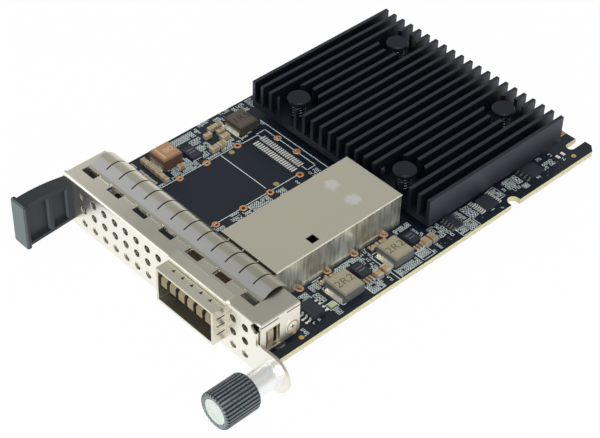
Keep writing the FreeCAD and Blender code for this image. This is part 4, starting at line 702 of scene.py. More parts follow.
# Fields of printed marks, cells and small parts, on the strips that the port, the sink and the flanges leave
# free: kind, low x, high x, low y, high y in mm.
FIELDS = (
    ("cells", 25, 27.3, -61.8, -56.2), ("marks", 27.6, 31.6, -57.9, -56),
    ("cells", 34.2, 37.2, -63.2, -59.6), ("marks", 35.1, 37.6, -57.2, -56.2),
    ("marks", 35.1, 37.6, -59.3, -58.4), ("cells", 35.1, 37.8, -71, -63.8),
    ("marks", 24.9, 28.5, -72.2, -71.4), ("crowd", 25, 27.4, -66, -62.2), ("marks", 31.4, 34.2, -63, -61.9),
    ("marks", 25.4, 29.2, -75.1, -72.4), ("marks", 29.5, 31.7, -75.2, -72.4),
    ("marks", 34.9, 37.4, -74.1, -73), ("marks", 34.9, 37.4, -76.3, -75.3),
    ("cells", 34, 37.2, -80.3, -76.4), ("cells", 25.1, 27.3, -82.2, -75.2), ("cells", 25.3, 28, -90.6, -88),
    ("boxes", 28.1, 32, -91.7, -89.1), ("marks", 34.7, 37.5, -91.2, -89.3),
    ("cells", 26.2, 28.9, -94.6, -91.7), ("marks", 34.2, 35.6, -97.6, -94.8),
    ("marks", 34.4, 37.4, -101.8, -99.9), ("marks", 31.2, 32.8, -10.8, -10),
    ("boxes", 32.6, 35.2, -15.3, -11), ("marks", 30.4, 31.6, -14.8, -12.8),
    ("marks", 33.9, 34.9, -17, -15.4), ("cells", 35, 36.2, -20, -18.2), ("marks", 34.7, 35.9, -9.4, -8.2),
    ("boxes", 30.6, 34.7, -25.3, -22.9), ("cells", 34.7, 37, -25.2, -23),
    ("marks", 30.6, 35.6, -28.6, -25.5), ("marks", 32.4, 33.8, -30, -28.7),
    ("marks", 30.4, 32.2, -30, -28.9), ("cells", 30.8, 34.3, -33.1, -31),
    ("cells", 35.3, 36.2, -37.9, -36.4), ("marks", 36.8, 37.7, -35.2, -33.9),
    ("boxes", 30.4, 35.7, -43.8, -41.1), ("marks", 30.4, 34.3, -45.9, -43.9),
    ("cells", 34.3, 37.8, -46.6, -43.7), ("cells", 34.8, 37.8, -49.7, -46.9),
    ("boxes", 31.5, 36.2, -52, -50.5), ("marks", 31.3, 35.5, -55.1, -52), ("marks", 30.2, 31.4, -56, -51),
    ("marks", -28.6, -26, -57.6, -56.9), ("cells", -27.3, -25.4, -65.4, -63.4),
    ("cells", -37, -34, -66.2, -63.2), ("marks", -37.9, -36.9, -63.1, -60.2),
    ("cells", -37.3, -34.7, -73.1, -71.4), ("cells", -28.5, -26.1, -72.9, -67),
    ("cells", -37.2, -34.4, -80.6, -73.1), ("boxes", -34.2, -31.3, -77, -73.1),
    ("cells", -31.4, -28.7, -77, -73.2), ("marks", -28.8, -25.7, -77.9, -75.2),
    ("cells", -29.7, -24.9, -86.6, -79.9), ("cells", -29.5, -26, -88.1, -85.8),
    ("cells", -26.1, -24.9, -100.8, -86.7), ("cells", -26.1, -25.2, -77.8, -66.2),
    ("crowd", -37.2, -26.2, -94.6, -92), ("marks", -37, -26.2, -98.8, -95),
    ("marks", -37.9, -36.9, -70.8, -67), ("marks", -37.2, -33.4, -59.4, -55.6),
    ("marks", -37.4, -33, -54.6, -30), ("crowd", -37, -33.2, -28, -12),
    ("marks", -33.2, -28.8, -58.9, -57.2), ("marks", -4.8, -2.6, -61.9, -58.3),
    ("cells", -5.4, -2.6, -66.8, -65.8), ("cells", -4.9, -2.4, -73.1, -70.5),
    ("cells", -5.4, -2.2, -84.5, -75.2), ("cells", -5.7, -4.4, -87.6, -84.7),
    ("marks", -4.4, -2.2, -88.4, -84.9), ("cells", -4.8, -2.2, -93.6, -90.6), ("crowd", -2.2, 3.9, -93, -60),
    ("marks", -4.6, 3.9, -100.4, -94.2),
)
# Pitches in mm of the two kinds of outlined cells, and the share of them that is there.
CELLS = {"cells": ((0.8, 0.64), 0.9), "boxes": ((1.15, 0.9), 0.95)}
# Printed lines: x0, y0, x1, y1 in mm.
PRINTED_LINES = (
    (-24.9, -101, -24.9, -69), (-24.9, -66.8, -24.5, -66.8), (-24.5, -66.8, -24.5, -61.4),
    (-24.5, -61.4, -22.9, -61.4), (-24.9, -61.4, -24.9, -58.5), (-24.9, -58.5, -5.7, -58.5),
    (-5.7, -58.5, -5.7, -61.4), (-5.7, -61.4, -7.7, -61.4), (-5.9, -64.6, -5.9, -73.2),
    (-5.9, -75.4, -5.9, -82), (-5.8, -84.2, -5.8, -101), (-24.5, -74.05, -7.4, -74.05),
    (-28.6, -56.76, -3, -56.76), (-36.9, -65.7, -25.5, -65.7), (-37.9, -69.8, -36.6, -69.8),
    (-28.45, -80.2, -28.45, -77.7), (-28.3, -80.2, -28.3, -77.7), (-27.4, -80.2, -27.4, -78.2),
    (-29.8, -80.6, -27.9, -80.6), (24.9, -88.6, 24.9, -86), (27.9, -72.25, 37.8, -72.25),
    (24.9, -72.25, 24.9, -71.2), (28, -88.3, 28, -87.3), (28, -88.3, 29.6, -88.3), (28, -87.3, 29, -87.3),
    (33.5, -88.3, 35.2, -88.3), (35.2, -88.3, 35.2, -87.3), (33.6, -87.3, 35.2, -87.3),
    (27.6, -71.2, 27.6, -69.8), (34.4, -71.2, 37.8, -71.2), (33.4, -71.2, 34.6, -71.2),
    (35.1, -35.3, 35.1, -33.7), (30.2, -46.55, 37.8, -46.55), (30.4, -33.3, 34.9, -33.3),
    (30.4, -30.95, 34.5, -30.95),
)
# Outlined boxes: x0, x1, y0, y1 in mm.
PRINTED_BOXES = (
    (32.5, 34.6, -91.7, -89.1), (34.3, 37.8, -46.7, -43.6), (34.8, 37.8, -49.8, -46.8),
    (34.1, 37.3, -80.4, -76.3), (34.1, 37.3, -63.3, -59.5), (30.7, 32.3, -27.4, -25.6),
    (30.4, 34.5, -33.2, -30.9), (-29.9, -27, -86, -83.2),
)
# Small leaded chips beside the sink: x, y of the middle, size in x, y and z, leads per side, their pitch.
SMALL_CHIPS = ((32.6, -19.5, 4.9, 3.9, 1.4, 4, 1.27), (32.7, -48.3, 4.7, 2.1, 0.9, 5, 1))
# Chip parts that lie along X: x, y of their middles in mm.
STACKED = (
    (33.2, -59.9), (33.2, -60.9), (33.2, -61.9), (33.2, -77), (33.2, -78), (33.2, -79), (26, -67.8),
    (26, -70.2), (26.2, -84.9), (26.2, -87.6), (-28.4, -84.6),
)
# Solder in front of the inductors' feet: x0, x1, y0, y1 in mm.
FILLETS = (
    (29.9, 33.4, -88.2, -87.4), (29, 33, -71.3, -70.5), (-34, -29.2, -66.1, -65.3),
    (-34.8, -31.2, -89.9, -89.4), (32.9, 34.2, -8.1, -7.3), (32.9, 34.2, -10, -9.2),
    (-27.4, -26.5, -63, -61.7),
)
# Bare alignment pads and gold fiducials: x, y in mm.
ALIGNMENT_PADS = ((-23.65, -71.1), (-6.9, -71))
FIDUCIALS = ((36, -6.2), (36.3, -102.7), (-35.6, -9))
# Fields of vias: low corner and high corner, x and y in mm, and how many.
VIA_FIELDS = (((33, -56), (37, -10), 20), ((-37, -90), (-26, -58), 30), ((25, -90), (33, -58), 30))
# Rows of the unused port's solder pads: x of the first and y of the middles in mm.
PORT_PADS = ((-22.7, -61.3), (-22.3, -63.9))
# Large parts and groups of small ones on the board, where nothing is printed.
LARGE_PARTS = ("inductor_front_right", "inductor_rear_right", "inductor_front_left", "inductor_rear_left",
               "flash_chip", "buffer_chip", "cage_shell", "mounting_foot_left", "mounting_foot_right")
SMALL_PARTS = ("driver_chips", "ceramic_capacitors", "port_eyelets", "chip_leads")
# Nodes whose finish isn't that of their slot.
OWN_FINISH = {"pull_tab": "tab_plastic", "inductor_rear_left": "dark_ferrite", "side_spring": "leaf_spring",
              "port_fingers": "port_finger_steel", "inductor_terminals": "tinned_clip",
              "mounting_foot_left": "foot_steel", "mounting_foot_right": "foot_steel"}


# ---------------------------------------------------------------- operators

class CARD_OT_finishes(bpy.types.Operator):
    """Gives every frame node the finish of its slot"""

    bl_idname = "card.finishes"
    bl_label = "Finishes"

    def execute(self, context):
        for part in frame["record"]["subparts"]:
            materials = NODES[part["node"]].data.materials
            materials.clear()
            materials.append(finish(OWN_FINISH.get(part["node"], part["material_slot"])))
        return {"FINISHED"}


class CARD_OT_board_print(bpy.types.Operator):
    """Prints the lines, boxes, marks and cells on the board, and sets the small chip parts on it"""

    bl_idname = "card.board_print"
    bl_label = "Board print and small parts"

    def execute(self, context):
        trim = context.scene.card_trim
        width = trim.line_width / MM
        tan, dark, ends, fields = [], [], [], []
        for seed, (kind, *field) in enumerate(FIELDS):
            if kind == "marks":
                fields.append(marks(field, seed, trim.glyph_height / MM))
            elif kind == "crowd":
                for store, rows in zip((tan, dark, ends, fields), crowd(field, seed)):
                    store.append(rows)
            else:
                fields.append(cells(field, seed, *CELLS[kind]))
        tan, dark, ends, fields = [self.clear(np.concatenate(rows)) for rows in (tan, dark, ends, fields)]
        ink = [lines(PRINTED_LINES, width), frames(PRINTED_BOXES, width * 0.8), fields]
        mesh_piece("board_print", flats(np.concatenate(ink), INK_Z), "ink")
        x, y = np.array(STACKED).T
        stacked, caps = [rows[:, [2, 3, 0, 1, 4, 5]] for rows in chip(y, x, 0.27, 0.55)]
        mesh_piece("chip_capacitors", slabs(np.concatenate([tan, stacked])), "ceramic_tan")
        mesh_piece("chip_resistors", slabs(dark), "chip_plastic")
        mesh_piece("chip_ends", slabs(np.concatenate([ends, caps])), "fired_end")
        return {"FINISHED"}

    def clear(self, rows):
        """Rows whose rectangle touches no larger part that stands on the board."""
        taken = [(*box_mm(node), 0.3) for node in LARGE_PARTS]
        taken += [(*corners, 0.1) for node in SMALL_PARTS for corners in solids(node)]
        taken = np.array([(low[0] - 0.1, high[0] + 0.1, low[1] - gap, high[1] + gap)
                          for low, high, gap in taken])
        x0, x1, y0, y1 = rows[:, :4].T[:, :, None]
        hit = (x0 < taken[:, 1]) & (x1 > taken[:, 0]) & (y0 < taken[:, 3]) & (y1 > taken[:, 2])
        return rows[~hit.any(1)]


class CARD_OT_pads(bpy.types.Operator):
    """Adds the unused port's solder pads, the pads of the chips, the gold fiducials and the drilled bores"""

    bl_idname = "card.pads"
    bl_label = "Pads and bores"

    def execute(self, context):
        self.solder_pads()
        self.leaded_chips()
        mesh_piece("indicator", slabs([(32.9, 34.2, -91.3, -89.5, 0, 0.5)]), "lens")
        low, high = box_mm("flash_chip")
        beads = [((low[0] + high[0]) / 2 + (lead - 1.5) * 1.27, y) for y in (high[1] + 1.35, low[1] - 1.35)
                 for lead in range(4)]
        mesh_piece("lead_pads", discs(beads, 0.36, PAD_Z, 16), "solder")
        mesh_piece("fiducials", discs(FIDUCIALS, 0.66, PAD_Z), "gold")
        mesh_piece("alignment_pads", discs(ALIGNMENT_PADS, 0.8, PAD_Z), "olive")
        rng = np.random.default_rng(5)
        vias = np.concatenate([rng.uniform(low, high, (count, 2)) for low, high, count in VIA_FIELDS])
        mesh_piece("vias", discs(vias, 0.17, INK_Z * 0.7, 8), "olive")
        self.plated_holes()
        return {"FINISHED"}

    def solder_pads(self):
        """The unused port's pads, the pads of the buffer chip, and the solder before the inductors."""
        count, pitch, half_x, half_y, tall = 19, 0.8, 0.22, 0.95, 0.09
        rows = [around(x + np.arange(count) * pitch, y, half_x, half_y, 0, tall) for x, y in PORT_PADS]
        count, pitch, first_x, half_x, tall, solder = 8, 0.65, 30.675, 0.16, 0.12, 0.14
        leads = first_x + np.arange(count) * pitch
        rows += [around(leads, y, half_x, half_y, 0, tall) for y, half_y in ((-40.0, 0.7), (-33.9, 0.6))]
        rows += [np.array([(*fillet, 0, solder)]) for fillet in FILLETS]
        mesh_piece("solder_pads", slabs(np.concatenate(rows)), "solder")

    def leaded_chips(self):
        """Two small chips with bent leads: a shoulder through the body and a foot on each side."""
        half, shoulder, foot, rise, thick = 0.21, 0.45, 0.475, 0.35, 0.2
        bodies, leads = [], []
        for x, y, wide, deep, tall, count, pitch in SMALL_CHIPS:
            bodies.append(around(x, y, wide / 2, deep / 2, 0.1, tall))
            at = x + (np.arange(count) - (count - 1) / 2) * pitch
            leads.append(around(at, y, half, deep / 2 + shoulder, rise, rise + thick))
            for toe in (-1, 1):
                middle = y + toe * (deep / 2 + 0.35 + foot)
                leads.append(around(at, middle, half, foot, 0, 0.18))
        mesh_piece("small_chips", slabs(np.concatenate(bodies)), "chip_plastic")
        mesh_piece("small_chip_leads", slabs(np.concatenate(leads)), "tinned_clip")

    def plated_holes(self):
        """Raised copper rims round the unused port's holes, and their dark bores."""
        rings, bores = [], []
        for low, high in solids("port_eyelets"):
            outer = (high[1] - low[1]) / 2
            bore = outer * 0.5
            centre = (high[0] - outer, (low[1] + high[1]) / 2, 0)
            rings.append(turned([(bore, -0.02), (bore, 0.07), (bore + 0.1, 0.13), (outer, 0.13),
                                 (outer + 0.13, 0.07), (outer + 0.15, 0)], centre, "z", 32))
            bores.append(turned([(bore, 0.06), (bore, -0.9), (bore * 0.4, -1), (0, -1)], centre, "z", 16))
        rings = mesh_piece("plated_rings", gathered(rings), "copper", smooth=50)
        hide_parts("port_eyelets")
        mesh_piece("drilled_bores", gathered(bores), "hole_shade", smooth=40)


class CARD_OT_capacitor_ends(bpy.types.Operator):
    """Puts tinned bands round both ends of every ceramic capacitor"""

    bl_idname = "card.capacitor_ends"
    bl_label = "Capacitor ends"

    def execute(self, context):
        rows, wrap, share = [], 0.03, 0.18
        for low, high in solids("ceramic_capacitors"):
            size = high - low
            axis = 0 if size[0] > size[1] else 1
            for end in (0, 1):
                near, far = low - wrap, high + wrap
                if end:
                    near[axis] = high[axis] - size[axis] * share
                else:
                    far[axis] = low[axis] + size[axis] * share
                rows.append((near[0], far[0], near[1], far[1], 0, far[2]))
        mesh_piece("capacitor_ends", slabs(rows), "fired_end")
        return {"FINISHED"}


class CARD_OT_markings(bpy.types.Operator):
    """Marks the inductors with their value codes and the chips with pale strokes"""

    bl_idname = "card.markings"
    bl_label = "Markings"

    def execute(self, context):
        for node, text, look, size, shift in (("inductor_front_right", "2R2", "dark_mark", 3.1, 0),
                                              ("inductor_rear_right", "2R2", "dark_mark", 3.1, 0),
                                              ("inductor_rear_left", "1R5", "engraved", 3.1, 0),
                                              ("inductor_front_left", "00", "pale_mark", 2.6, 0.8)):
            low, high = box_mm(node)
            middle = (low + high) / 2
            place = middle[0], middle[1] + shift, high[2] + MARK_RISE
            self.write(f"{node}_value", text, size, place, look)
        bar = (low[0] + 0.7, high[0] - 0.9, low[1] + 1.0, low[1] + 1.35, high[2], high[2] + MARK_RISE)
        mesh_piece("inductor_bar", slabs([bar]), "pale_mark")
        rows = []
        for low, high in solids("driver_chips"):
            x, y = (low[:2] + high[:2]) / 2
            strokes = np.array([x - 0.8, x + 0.2])
            rows.append(around(strokes, y - 0.05, 0.1, 0.95, high[2], high[2] + MARK_RISE))
        mesh_piece("chip_marks", slabs(np.concatenate(rows)), "faint_mark")
        return {"FINISHED"}

    def write(self, name, text, size, middle, look):
        """Flat letters, made a mesh and then turned to read along +Y with their tops towards -X."""
        curve = bpy.data.curves.new(name, "FONT")
        curve.body = text
        curve.size = size * MM
        curve.align_x = "CENTER"
        curve.align_y = "CENTER"
        curve.resolution_u = 3
        holder = bpy.data.objects.new(name + "_curve", curve)
        bpy.context.scene.collection.objects.link(holder)
        bpy.context.view_layer.update()
        graph = bpy.context.evaluated_depsgraph_get()
        letters = bpy.data.meshes.new_from_object(holder.evaluated_get(graph))
        letters.transform(Matrix.Translation(Vector(middle) * MM) @ Matrix.Rotation(math.pi / 2, 4, "Z")
                          @ Matrix.Diagonal((1.12, 1, 1, 1)))
        shape = points_mm(letters) * MM, [list(face.vertices) for face in letters.polygons]
        mesh_piece(name, shape, look)
        bpy.data.objects.remove(holder)
        bpy.data.curves.remove(curve)
        bpy.data.meshes.remove(letters)


class CARD_OT_thumbscrew(bpy.types.Operator):
    """Turns the captive thumbscrew: knurled knob with its disc, smooth sleeve, threaded point, coil"""

    bl_idname = "card.thumbscrew"
    bl_label = "Thumbscrew"

    def execute(self, context):
        trim = context.scene.card_trim
        self.knob(trim.knurls)
        self.sleeve()
        self.screw(trim.thread_pitch / MM)
        self.spring()
        return {"FINISHED"}

    def knob(self, knurls):
        """Knob whose grooves are a raised cosine of the angle, and its let-in disc."""
        low, high = box_mm("thumbscrew_knob")
        front, rear, radius = low[1], high[1], (high[2] - low[2]) / 2
        bore, disc, steps = 3.35, 3.27, 12
        profile = [(bore - 0.05, front + 0.35), (bore - 0.05, front + 0.04), (bore + 0.01, front),
                   (radius - 0.4, front), (radius - 0.15, front + 0.15), (radius, front + 0.45),
                   (radius, rear - 0.9), (radius - 0.25, rear - 0.4), (radius - 0.6, rear - 0.1),
                   (radius - 0.75, rear), (bore, rear), (bore, rear - 6.0)]
        depth = [0, 0, 0, 0.25, 0.45, 0.5, 0.5, 0.35, 0.1, 0, 0, 0]
        ribbed = turned(profile, (SCREW_X, 0, 0), "y", knurls * steps,
                        lambda t: np.clip(np.cos(t * knurls) * 1.5 - 0.1, 0, 1), depth)
        knob = mesh_piece("thumb_knob", ribbed, "knob_plastic", body="screw_knob", smooth=32, weld=True)
        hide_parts("thumbscrew_knob")
        face = turned([(0, front + 0.45), (disc, front + 0.45), (disc, front + 0.1),
                       (disc - 0.12, front + 0.03), (2.3, front + 0.03), (2.22, front + 0.07),
                       (2.1, front + 0.03), (0, front + 0.03)], (SCREW_X, 0, 0))
        cap = mesh_piece("thumb_disc", face, "pale_plastic", body="screw_knob", smooth=32, weld=True)
        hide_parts("thumbscrew_cap")

    def sleeve(self):
        """Sleeve turned from one bar: rolled lip in front, shoulder against the faceplate."""
        low, high = box_mm("thumbscrew_ferrule")
        plate = plate_corners()[0][1]
        front, rear, radius, shoulder, hole, room = low[1], high[1], 3.05, 3.4, 1.75, 2.4
        profile = [(hole, front), (radius - 0.25, front), (radius, front + 0.25), (radius, plate - 0.7),
                   (shoulder, plate - 0.6), (shoulder, plate), (radius, plate), (radius, rear), (hole, rear),
                   (hole, rear - 1.2), (room, rear - 1.2), (room, front + 0.5), (hole, front + 0.5),
                   (hole, front)]
        tube = turned(profile, (SCREW_X, 0, 0), "y", 72)
        sleeve = mesh_piece("screw_sleeve", tube, "bright_steel", smooth=32, weld=True)
        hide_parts("thumbscrew_ferrule")

    def screw(self, pitch):
        """Shank and threaded point: r falls by the depth times a triangle wave of s / pitch - t / turn."""
        low, high = box_mm("thumbscrew_shank")
        rear, steps, core, depth = high[1], 32, 1.15, 0.2
        start = rear - 1.4
        smooth = [(0, low[1]), (1.5, low[1]), (1.5, start), (core, start)]
        along = np.arange(start, rear - 0.3, pitch / 6)
        turn = np.arange(steps) / steps
        wave = np.abs(((along[:, None] - start) / pitch - turn) % 1 - 0.5) * 2
        profile = smooth + [(core, s) for s in along] + [(0.9, rear - 0.05), (0.75, rear), (0, rear)]
        plain, sides = turned(profile, (SCREW_X, 0, 0), "y", steps)
        grid = plain.reshape(-1, steps, 3)
        thread = grid[len(smooth):len(smooth) + len(along)]
        thread[..., 0] -= np.cos(turn * 2 * math.pi) * wave * depth * MM
        thread[..., 2] -= np.sin(turn * 2 * math.pi) * wave * depth * MM
        screw = mesh_piece("threaded_screw", (plain, sides), "bright_steel", body="screw_knob", smooth=50,
                           weld=True)
        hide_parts("thumbscrew_shank")

    def spring(self):
        """Coil in the sleeve, wound along Z and laid along Y."""
        low, high = box_mm("thumbscrew_spring")
        wire, travel = 0.2, JOINTS["thumbscrew_travel"]["range_m"][1] / MM
        coil, sides = wound((high[2] - low[2]) / 2 - wire, wire, 5, low[1], high[1], (0, 0, 0))
        coil = coil[:, [0, 2, 1]] * (1, 1, -1) + (SCREW_X * MM, 0, 0)
        spring = mesh_piece("sleeve_spring", (coil, sides), "bright_steel", smooth=60, weld=True)
        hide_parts("thumbscrew_spring")
        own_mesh(spring)


class CARD_OT_push_pins(bpy.types.Operator):
    """Rounds the push pins' heads and winds their springs"""

    bl_idname = "card.push_pins"
    bl_label = "Push pins"

    def execute(self, context):
        wire = context.scene.card_trim.spring_wire / MM / 2
        heads, springs = [], []
        for low, high in solids("push_pins"):
            middle = (low + high) / 2
            top, radius = high[2], (high[0] - low[0]) / 2 + 0.02
            profile = [(1.4, top - 1.25), (radius - 0.15, top - 1.25), (radius, top - 1.1),
                       (radius, top - 0.45), (radius - 0.1, top - 0.25), (radius - 0.3, top - 0.12),
                       (radius * 0.6, top - 0.03), (0, top)]
            heads.append(turned(profile, (middle[0], middle[1], 0), "z"))
        for low, high in solids("push_pin_springs"):
            middle = (low + high) / 2
            springs.append(wound(1.82, wire, 5, low[2], high[2], (middle[0], middle[1], 0)))
        mesh_piece("pin_heads", gathered(heads), "black_plastic", smooth=50, weld=True)
        coils = mesh_piece("pin_springs", gathered(springs), "black_steel", smooth=60, weld=True)
        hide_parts("push_pin_springs")
        return {"FINISHED"}


class CARD_OT_spring_fingers(bpy.types.Operator):
    """Rolls the strip of spring fingers along the faceplate's top flange, with its window hooks"""

    bl_idname = "card.spring_fingers"
    bl_label = "Spring fingers"

    def execute(self, context):
        trim = context.scene.card_trim
        pitch, slit = trim.finger_pitch / MM, trim.finger_slit / MM
        low, high = box_mm("emi_finger_strip")
        front, top = plate_corners()[0][1], plate_corners()[1][2]
        gauge, joined = 0.2, 4
        inner = self.path(low, high, front, top, gauge)
        slope = np.gradient(inner, axis=0)
        slope /= np.linalg.norm(slope, axis=1)[:, None]
        outer = inner + np.stack([-slope[:, 1], slope[:, 0]], 1) * gauge
        parts = [self.sheet(inner[:joined + 1], outer[:joined + 1], low[0], high[0])]
        count = round((high[0] - low[0]) / pitch)
        starts = low[0] + np.arange(count) * pitch
        parts += [self.sheet(inner[joined:], outer[joined:], x, x + pitch - slit) for x in starts]
        # Painted shade: a near black sheet under the fingers, seen through the slits and at the open end.
        lining = self.sheet(inner - (0, 0.08), inner - (0, 0.03), low[0] + 0.6, high[0] - 0.3)
        mesh_piece("strip_underside_shade", lining, "painted_shade_black")
        strip = mesh_piece("spring_strip", gathered(parts), "spring_steel", smooth=40, weld=True)
        seat = low[1] + gauge
        hooks = [(x + pitch / 2 - 1.8, x + pitch / 2 + 1.8, seat - gauge, seat, top - 0.7, top + gauge)
                 for x in starts[::2]]
        hooks += [(x + slit, x + pitch - 2 * slit, seat - 0.5, seat + 0.02, top, top + gauge)
                  for x in starts[1::2]]
        mesh_piece("strip_hooks", slabs(hooks), "spring_steel")
        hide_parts("emi_finger_strip")
        return {"FINISHED"}

    def path(self, low, high, front, top, gauge):
        """Inner path of a finger in y and z: a flat seat, a sine's rise to the crest, a power's fall."""
        seat, bend, tail = low[1] + gauge, low[1] + gauge + 0.6, high[1] - 0.1
        crest, lift = (low[1] + front + 15.5) / 2, high[2] - gauge - top
        rise = np.linspace(0, 1, 9)
        fall = np.linspace(0, 1, 17)[1:]
        y = np.concatenate([[seat], bend + (crest - bend) * rise, crest + (tail - crest) * fall])
        z = np.concatenate([[top], top + lift * np.sin(rise * math.pi / 2) ** 1.25,
                            top + lift - (top + lift - low[2]) * fall ** 2.2])
        return np.stack([y, z], 1)

    def sheet(self, inner, outer, x0, x1):
        """A bent sheet: the closed loop of its inner and outer paths in y and z, drawn out from x0 to x1."""
        loop = np.concatenate([inner, outer[::-1]])
        n, half = len(loop), len(inner)
        points = np.stack([np.repeat([x0, x1], n), np.tile(loop[:, 0], 2), np.tile(loop[:, 1], 2)], 1) * MM
        near = np.arange(n)
        sides = np.stack([near, (near + 1) % n, (near + 1) % n + n, near + n], 1).tolist()
        cheek = [[i, n - 1 - i, n - 2 - i, i + 1] for i in range(half - 1)]
        return points, sides + cheek + [[k + n for k in face] for face in cheek]


class CARD_OT_sheet_trim(bpy.types.Operator):
    """Presses the rivets, and adds a painted shade band behind the strip, a painted highlight along the cage's
    edge and the shade in the slots
    """

    bl_idname = "card.sheet_trim"
    bl_label = "Sheet metal trim"

    def execute(self, context):
        self.rivets()
        thin = 0.02
        front = plate_corners()[0][1]
        low, high = box_mm("cage_shell")
        left, right, top = low[0], high[0], high[2]
        strip_low, strip_high = box_mm("emi_finger_strip")
        rear = strip_high[1]
        # Painted shade: a near black band on the cage top behind the strip, with small bright metal dots in it.
        band = (left, right, rear - 0.4, rear + 1.0, top, top + 2 * thin)
        mesh_piece("painted_shade_band", slabs([band]), "painted_shade_black")
        dots = [(x, rear + 0.55) for x in np.arange(left + 3.6, right - 2, 5.1)]
        mesh_piece("shade_band_dots", discs(dots, 0.22, (top + 3 * thin) * MM, 12), "tinned_clip")
        # Painted highlight: a pale strip along the cage's top right edge.
        edge = (right - 0.28, right + 0.012, rear + 1.0, high[1], top - 0.12, top + 0.015)
        mesh_piece("painted_edge_highlight", slabs([edge]), "edge_highlight")
        pitch = context.scene.card_trim.finger_pitch / MM
        windows = (strip_low[0] + strip_high[0]) / 2 + np.arange(-3, 4) * 2 * pitch
        windows = windows[(windows > left) & (windows < right)]
        slots = [[(left + 0.7, right - 0.7, front - 2.1, front - 1.0, top, top + thin)],
                 around(windows, front + 4.9, 2.2, 1.0, top, top + thin)]
        side = box_mm("side_rivets")[1][0]
        slots.append([(side - 1.9, side - 1.8, front + 1.6, front + 8.0, 1.2, 8.6)])
        mesh_piece("slot_shade", slabs(np.concatenate(slots)), "shade_brown")
        return {"FINISHED"}

    def rivets(self):
        """Flat heads on both side flanges, each with a tan ring, and a pressed-in cross drawn as dark strokes, its
        painted shade.
        """
        low, high = box_mm("side_rivets")
        y, z = (low[1:] + high[1:]) / 2
        radius = (high[1] - low[1]) / 2
        heads, rings, slots = [], [], []
        for side, x in ((-1, low[0]), (1, high[0])):
            face = x - side * 0.05
            heads.append(turned([(radius, face - side * 0.3), (radius, face - side * 0.1),
                                 (radius - 0.12, face), (0, face)], (0, y, z), "x", 48))
            rings.append(turned([(radius - 0.62, face + side * 0.005), (radius - 0.4, face + side * 0.02),
                                 (radius - 0.14, face + side * 0.005)], (0, y, z), "x", 48))
            # The pressed-in cross: dark strokes as its painted shade.
            slots += [around(face, y, 0.02, half_y, z - half_z, z + half_z)
                      for half_y, half_z in ((0.6, 0.13), (0.13, 0.5))]
        heads = mesh_piece("rivet_heads", gathered(heads), "rivet", smooth=40, weld=True)
        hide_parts("side_rivets")
        mesh_piece("rivet_rings", gathered(rings), "rivet_ring", smooth=60)
        mesh_piece("rivet_cross_shade", slabs(np.concatenate(slots)), "chip_plastic")


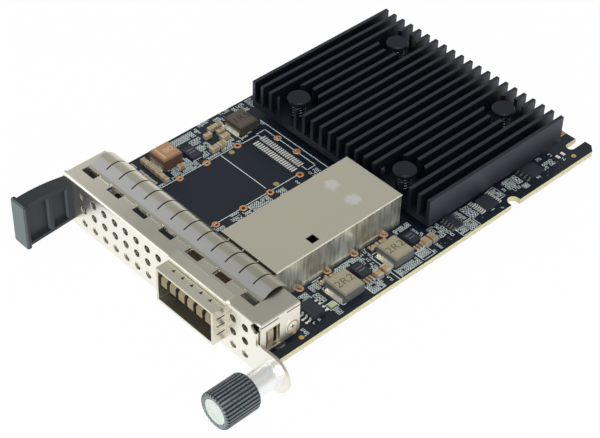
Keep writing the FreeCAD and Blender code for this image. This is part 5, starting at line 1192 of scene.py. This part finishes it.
class CARD_OT_stage(bpy.types.Operator):
    """Adds the camera, the lamps, the pale floor and the world"""

    bl_idname = "card.stage"
    bl_label = "Stage"

    def execute(self, context):
        stage = context.scene.card_stage
        context.scene.view_settings.view_transform = "Standard"
        self.camera(context.scene, stage)
        self.floor(context.scene, CAD_BOX[0][2] - stage.floor_drop)
        self.lamps(context.scene, stage)
        self.sky(context.scene)
        return {"FINISHED"}

    def camera(self, scene, stage):
        """Camera at the eye, looking at the aim, turned about its line of sight by the roll."""
        camera = bpy.data.objects.new("camera", bpy.data.cameras.new("camera"))
        scene.collection.objects.link(camera)
        eye, aim = Vector(stage.eye), Vector(stage.aim)
        forward = (aim - eye).normalized()
        level = forward.cross(Vector((0, 0, 1))).normalized()
        right = level * math.cos(stage.roll) + level.cross(forward) * math.sin(stage.roll)
        up = right.cross(forward)
        camera.matrix_world = Matrix.Translation(eye) @ Matrix((right, up, -forward)).transposed().to_4x4()
        camera.data.lens = stage.lens
        camera.data.sensor_width = 36
        camera.data.clip_start = 0.01
        camera.data.clip_end = 10
        scene.camera = camera

    def floor(self, scene, height):
        """A wide plane of white paper: it glows to the camera and to reflections, but not under the card."""
        reach, middle_y = 3, -58 * MM
        corners = [(x * reach, y * reach, height) for x, y in ((-1, -1), (1, -1), (1, 1), (-1, 1))]
        mesh = bpy.data.meshes.new("floor")
        mesh.from_pydata(corners, [], [[0, 1, 2, 3]])
        floor = bpy.data.objects.new("floor", mesh)
        scene.collection.objects.link(floor)
        material, add, place = new_material("white_paper_floor")
        paper = add("BsdfPrincipled", {"Base Color": linear("#efefef"), "Roughness": 1.0,
                                       "Specular IOR Level": 0.0})
        glow = add("Emission", {"Color": linear("#ffffff"), "Strength": 1.0})
        rays = add("LightPath", {}).node.outputs
        seen = add("Math", {0: rays["Is Camera Ray"], 1: rays["Is Glossy Ray"]}, operation="MAXIMUM")
        away = add("VectorMath", {0: place, 1: (0, -middle_y, 0)})
        away = add("VectorMath", {0: away}, operation="ABSOLUTE")
        across, along, _ = add("SeparateXYZ", {0: away}).node.outputs
        beside = add("MapRange", {0: across, 1: 24 * MM, 2: 32 * MM})
        before = add("MapRange", {0: along, 1: 48 * MM, 2: 55 * MM})
        clear = add("Math", {0: beside, 1: before}, operation="MAXIMUM")
        strong = add("Math", {0: seen, 1: 0.97}, operation="MULTIPLY")
        share = add("Math", {0: strong, 1: clear}, operation="MULTIPLY")
        add("OutputMaterial", {0: add("MixShader", {0: share, 1: paper, 2: glow})})
        mesh.materials.append(material)

    def lamps(self, scene, stage):
        """A large soft lamp above and right of the card, and two weaker ones low in front."""
        aim = Vector((0, -0.06, 0))
        for name, at, size, energy in (
            ("key", (0.45, -0.35, 0.8), 0.6, stage.key_power),
            ("front_left", (-0.75, -0.75, 0.4), 0.5, stage.fill_power),
            ("front_right", (0.8, -0.6, 0.35), 0.5, stage.fill_power),
        ):
            lamp = bpy.data.lights.new(name, "AREA")
            lamp.size = size
            lamp.energy = energy
            made = bpy.data.objects.new(name, lamp)
            turn = (aim - Vector(at)).to_track_quat("-Z", "Y").to_matrix().to_4x4()
            made.matrix_world = Matrix.Translation(Vector(at)) @ turn
            scene.collection.objects.link(made)

    def sky(self, scene):
        """World: white to the camera; to everything else a warm grey that is paler near the horizon."""
        world = bpy.data.worlds.new("studio")
        scene.world = world
        add = emptied(world)
        height = add("SeparateXYZ", {0: add("TexCoord", {}, "Generated")}, 2)
        above = add("MapRange", {0: height, 1: 0.02, 2: 0.45})
        near_horizon, overhead = (0.9, 0.89, 0.86, 1), (0.48, 0.475, 0.45, 1)
        tone = add("Mix", {0: above, 6: near_horizon, 7: overhead}, **BLEND)
        seen = add("LightPath", {}, "Is Camera Ray")
        shown = add("Mix", {0: seen, 6: tone, 7: linear("#ffffff")}, **BLEND)
        background = add("Background", {"Color": shown, "Strength": 1.0})
        add("OutputWorld", {0: background})


class CARD_PT_panel(bpy.types.Panel):
    """Lists the card's pieces, sizes and colours"""

    bl_idname = "CARD_PT_panel"
    bl_label = "Network card"
    bl_space_type = "VIEW_3D"
    bl_region_type = "UI"
    bl_category = "Network card"

    def draw(self, context):
        for operator in OPERATORS:
            self.layout.operator(operator.bl_idname)
        for group in (context.scene.card_stage, context.scene.card_colours, context.scene.card_trim):
            box = self.layout.box()
            for name in group.__annotations__:
                box.prop(group, name)


OPERATORS = (CARD_OT_finishes, CARD_OT_board_print, CARD_OT_pads, CARD_OT_capacitor_ends, CARD_OT_markings,
             CARD_OT_thumbscrew, CARD_OT_push_pins, CARD_OT_spring_fingers, CARD_OT_sheet_trim,
             CARD_OT_stage)
CLASSES = (CardStage, CardColours, CardTrim) + OPERATORS + (CARD_PT_panel,)


def register():
    for item in CLASSES:
        bpy.utils.register_class(item)
    bpy.types.Scene.card_stage = bpy.props.PointerProperty(type=CardStage)
    bpy.types.Scene.card_colours = bpy.props.PointerProperty(type=CardColours)
    bpy.types.Scene.card_trim = bpy.props.PointerProperty(type=CardTrim)


def unregister():
    del bpy.types.Scene.card_trim
    del bpy.types.Scene.card_colours
    del bpy.types.Scene.card_stage
    for item in reversed(CLASSES):
        bpy.utils.unregister_class(item)


def main():
    """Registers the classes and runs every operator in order."""
    register()
    for operator in OPERATORS:
        group, name = operator.bl_idname.split(".")
        getattr(getattr(bpy.ops, group), name)()


if __name__ == "__main__":
    main()
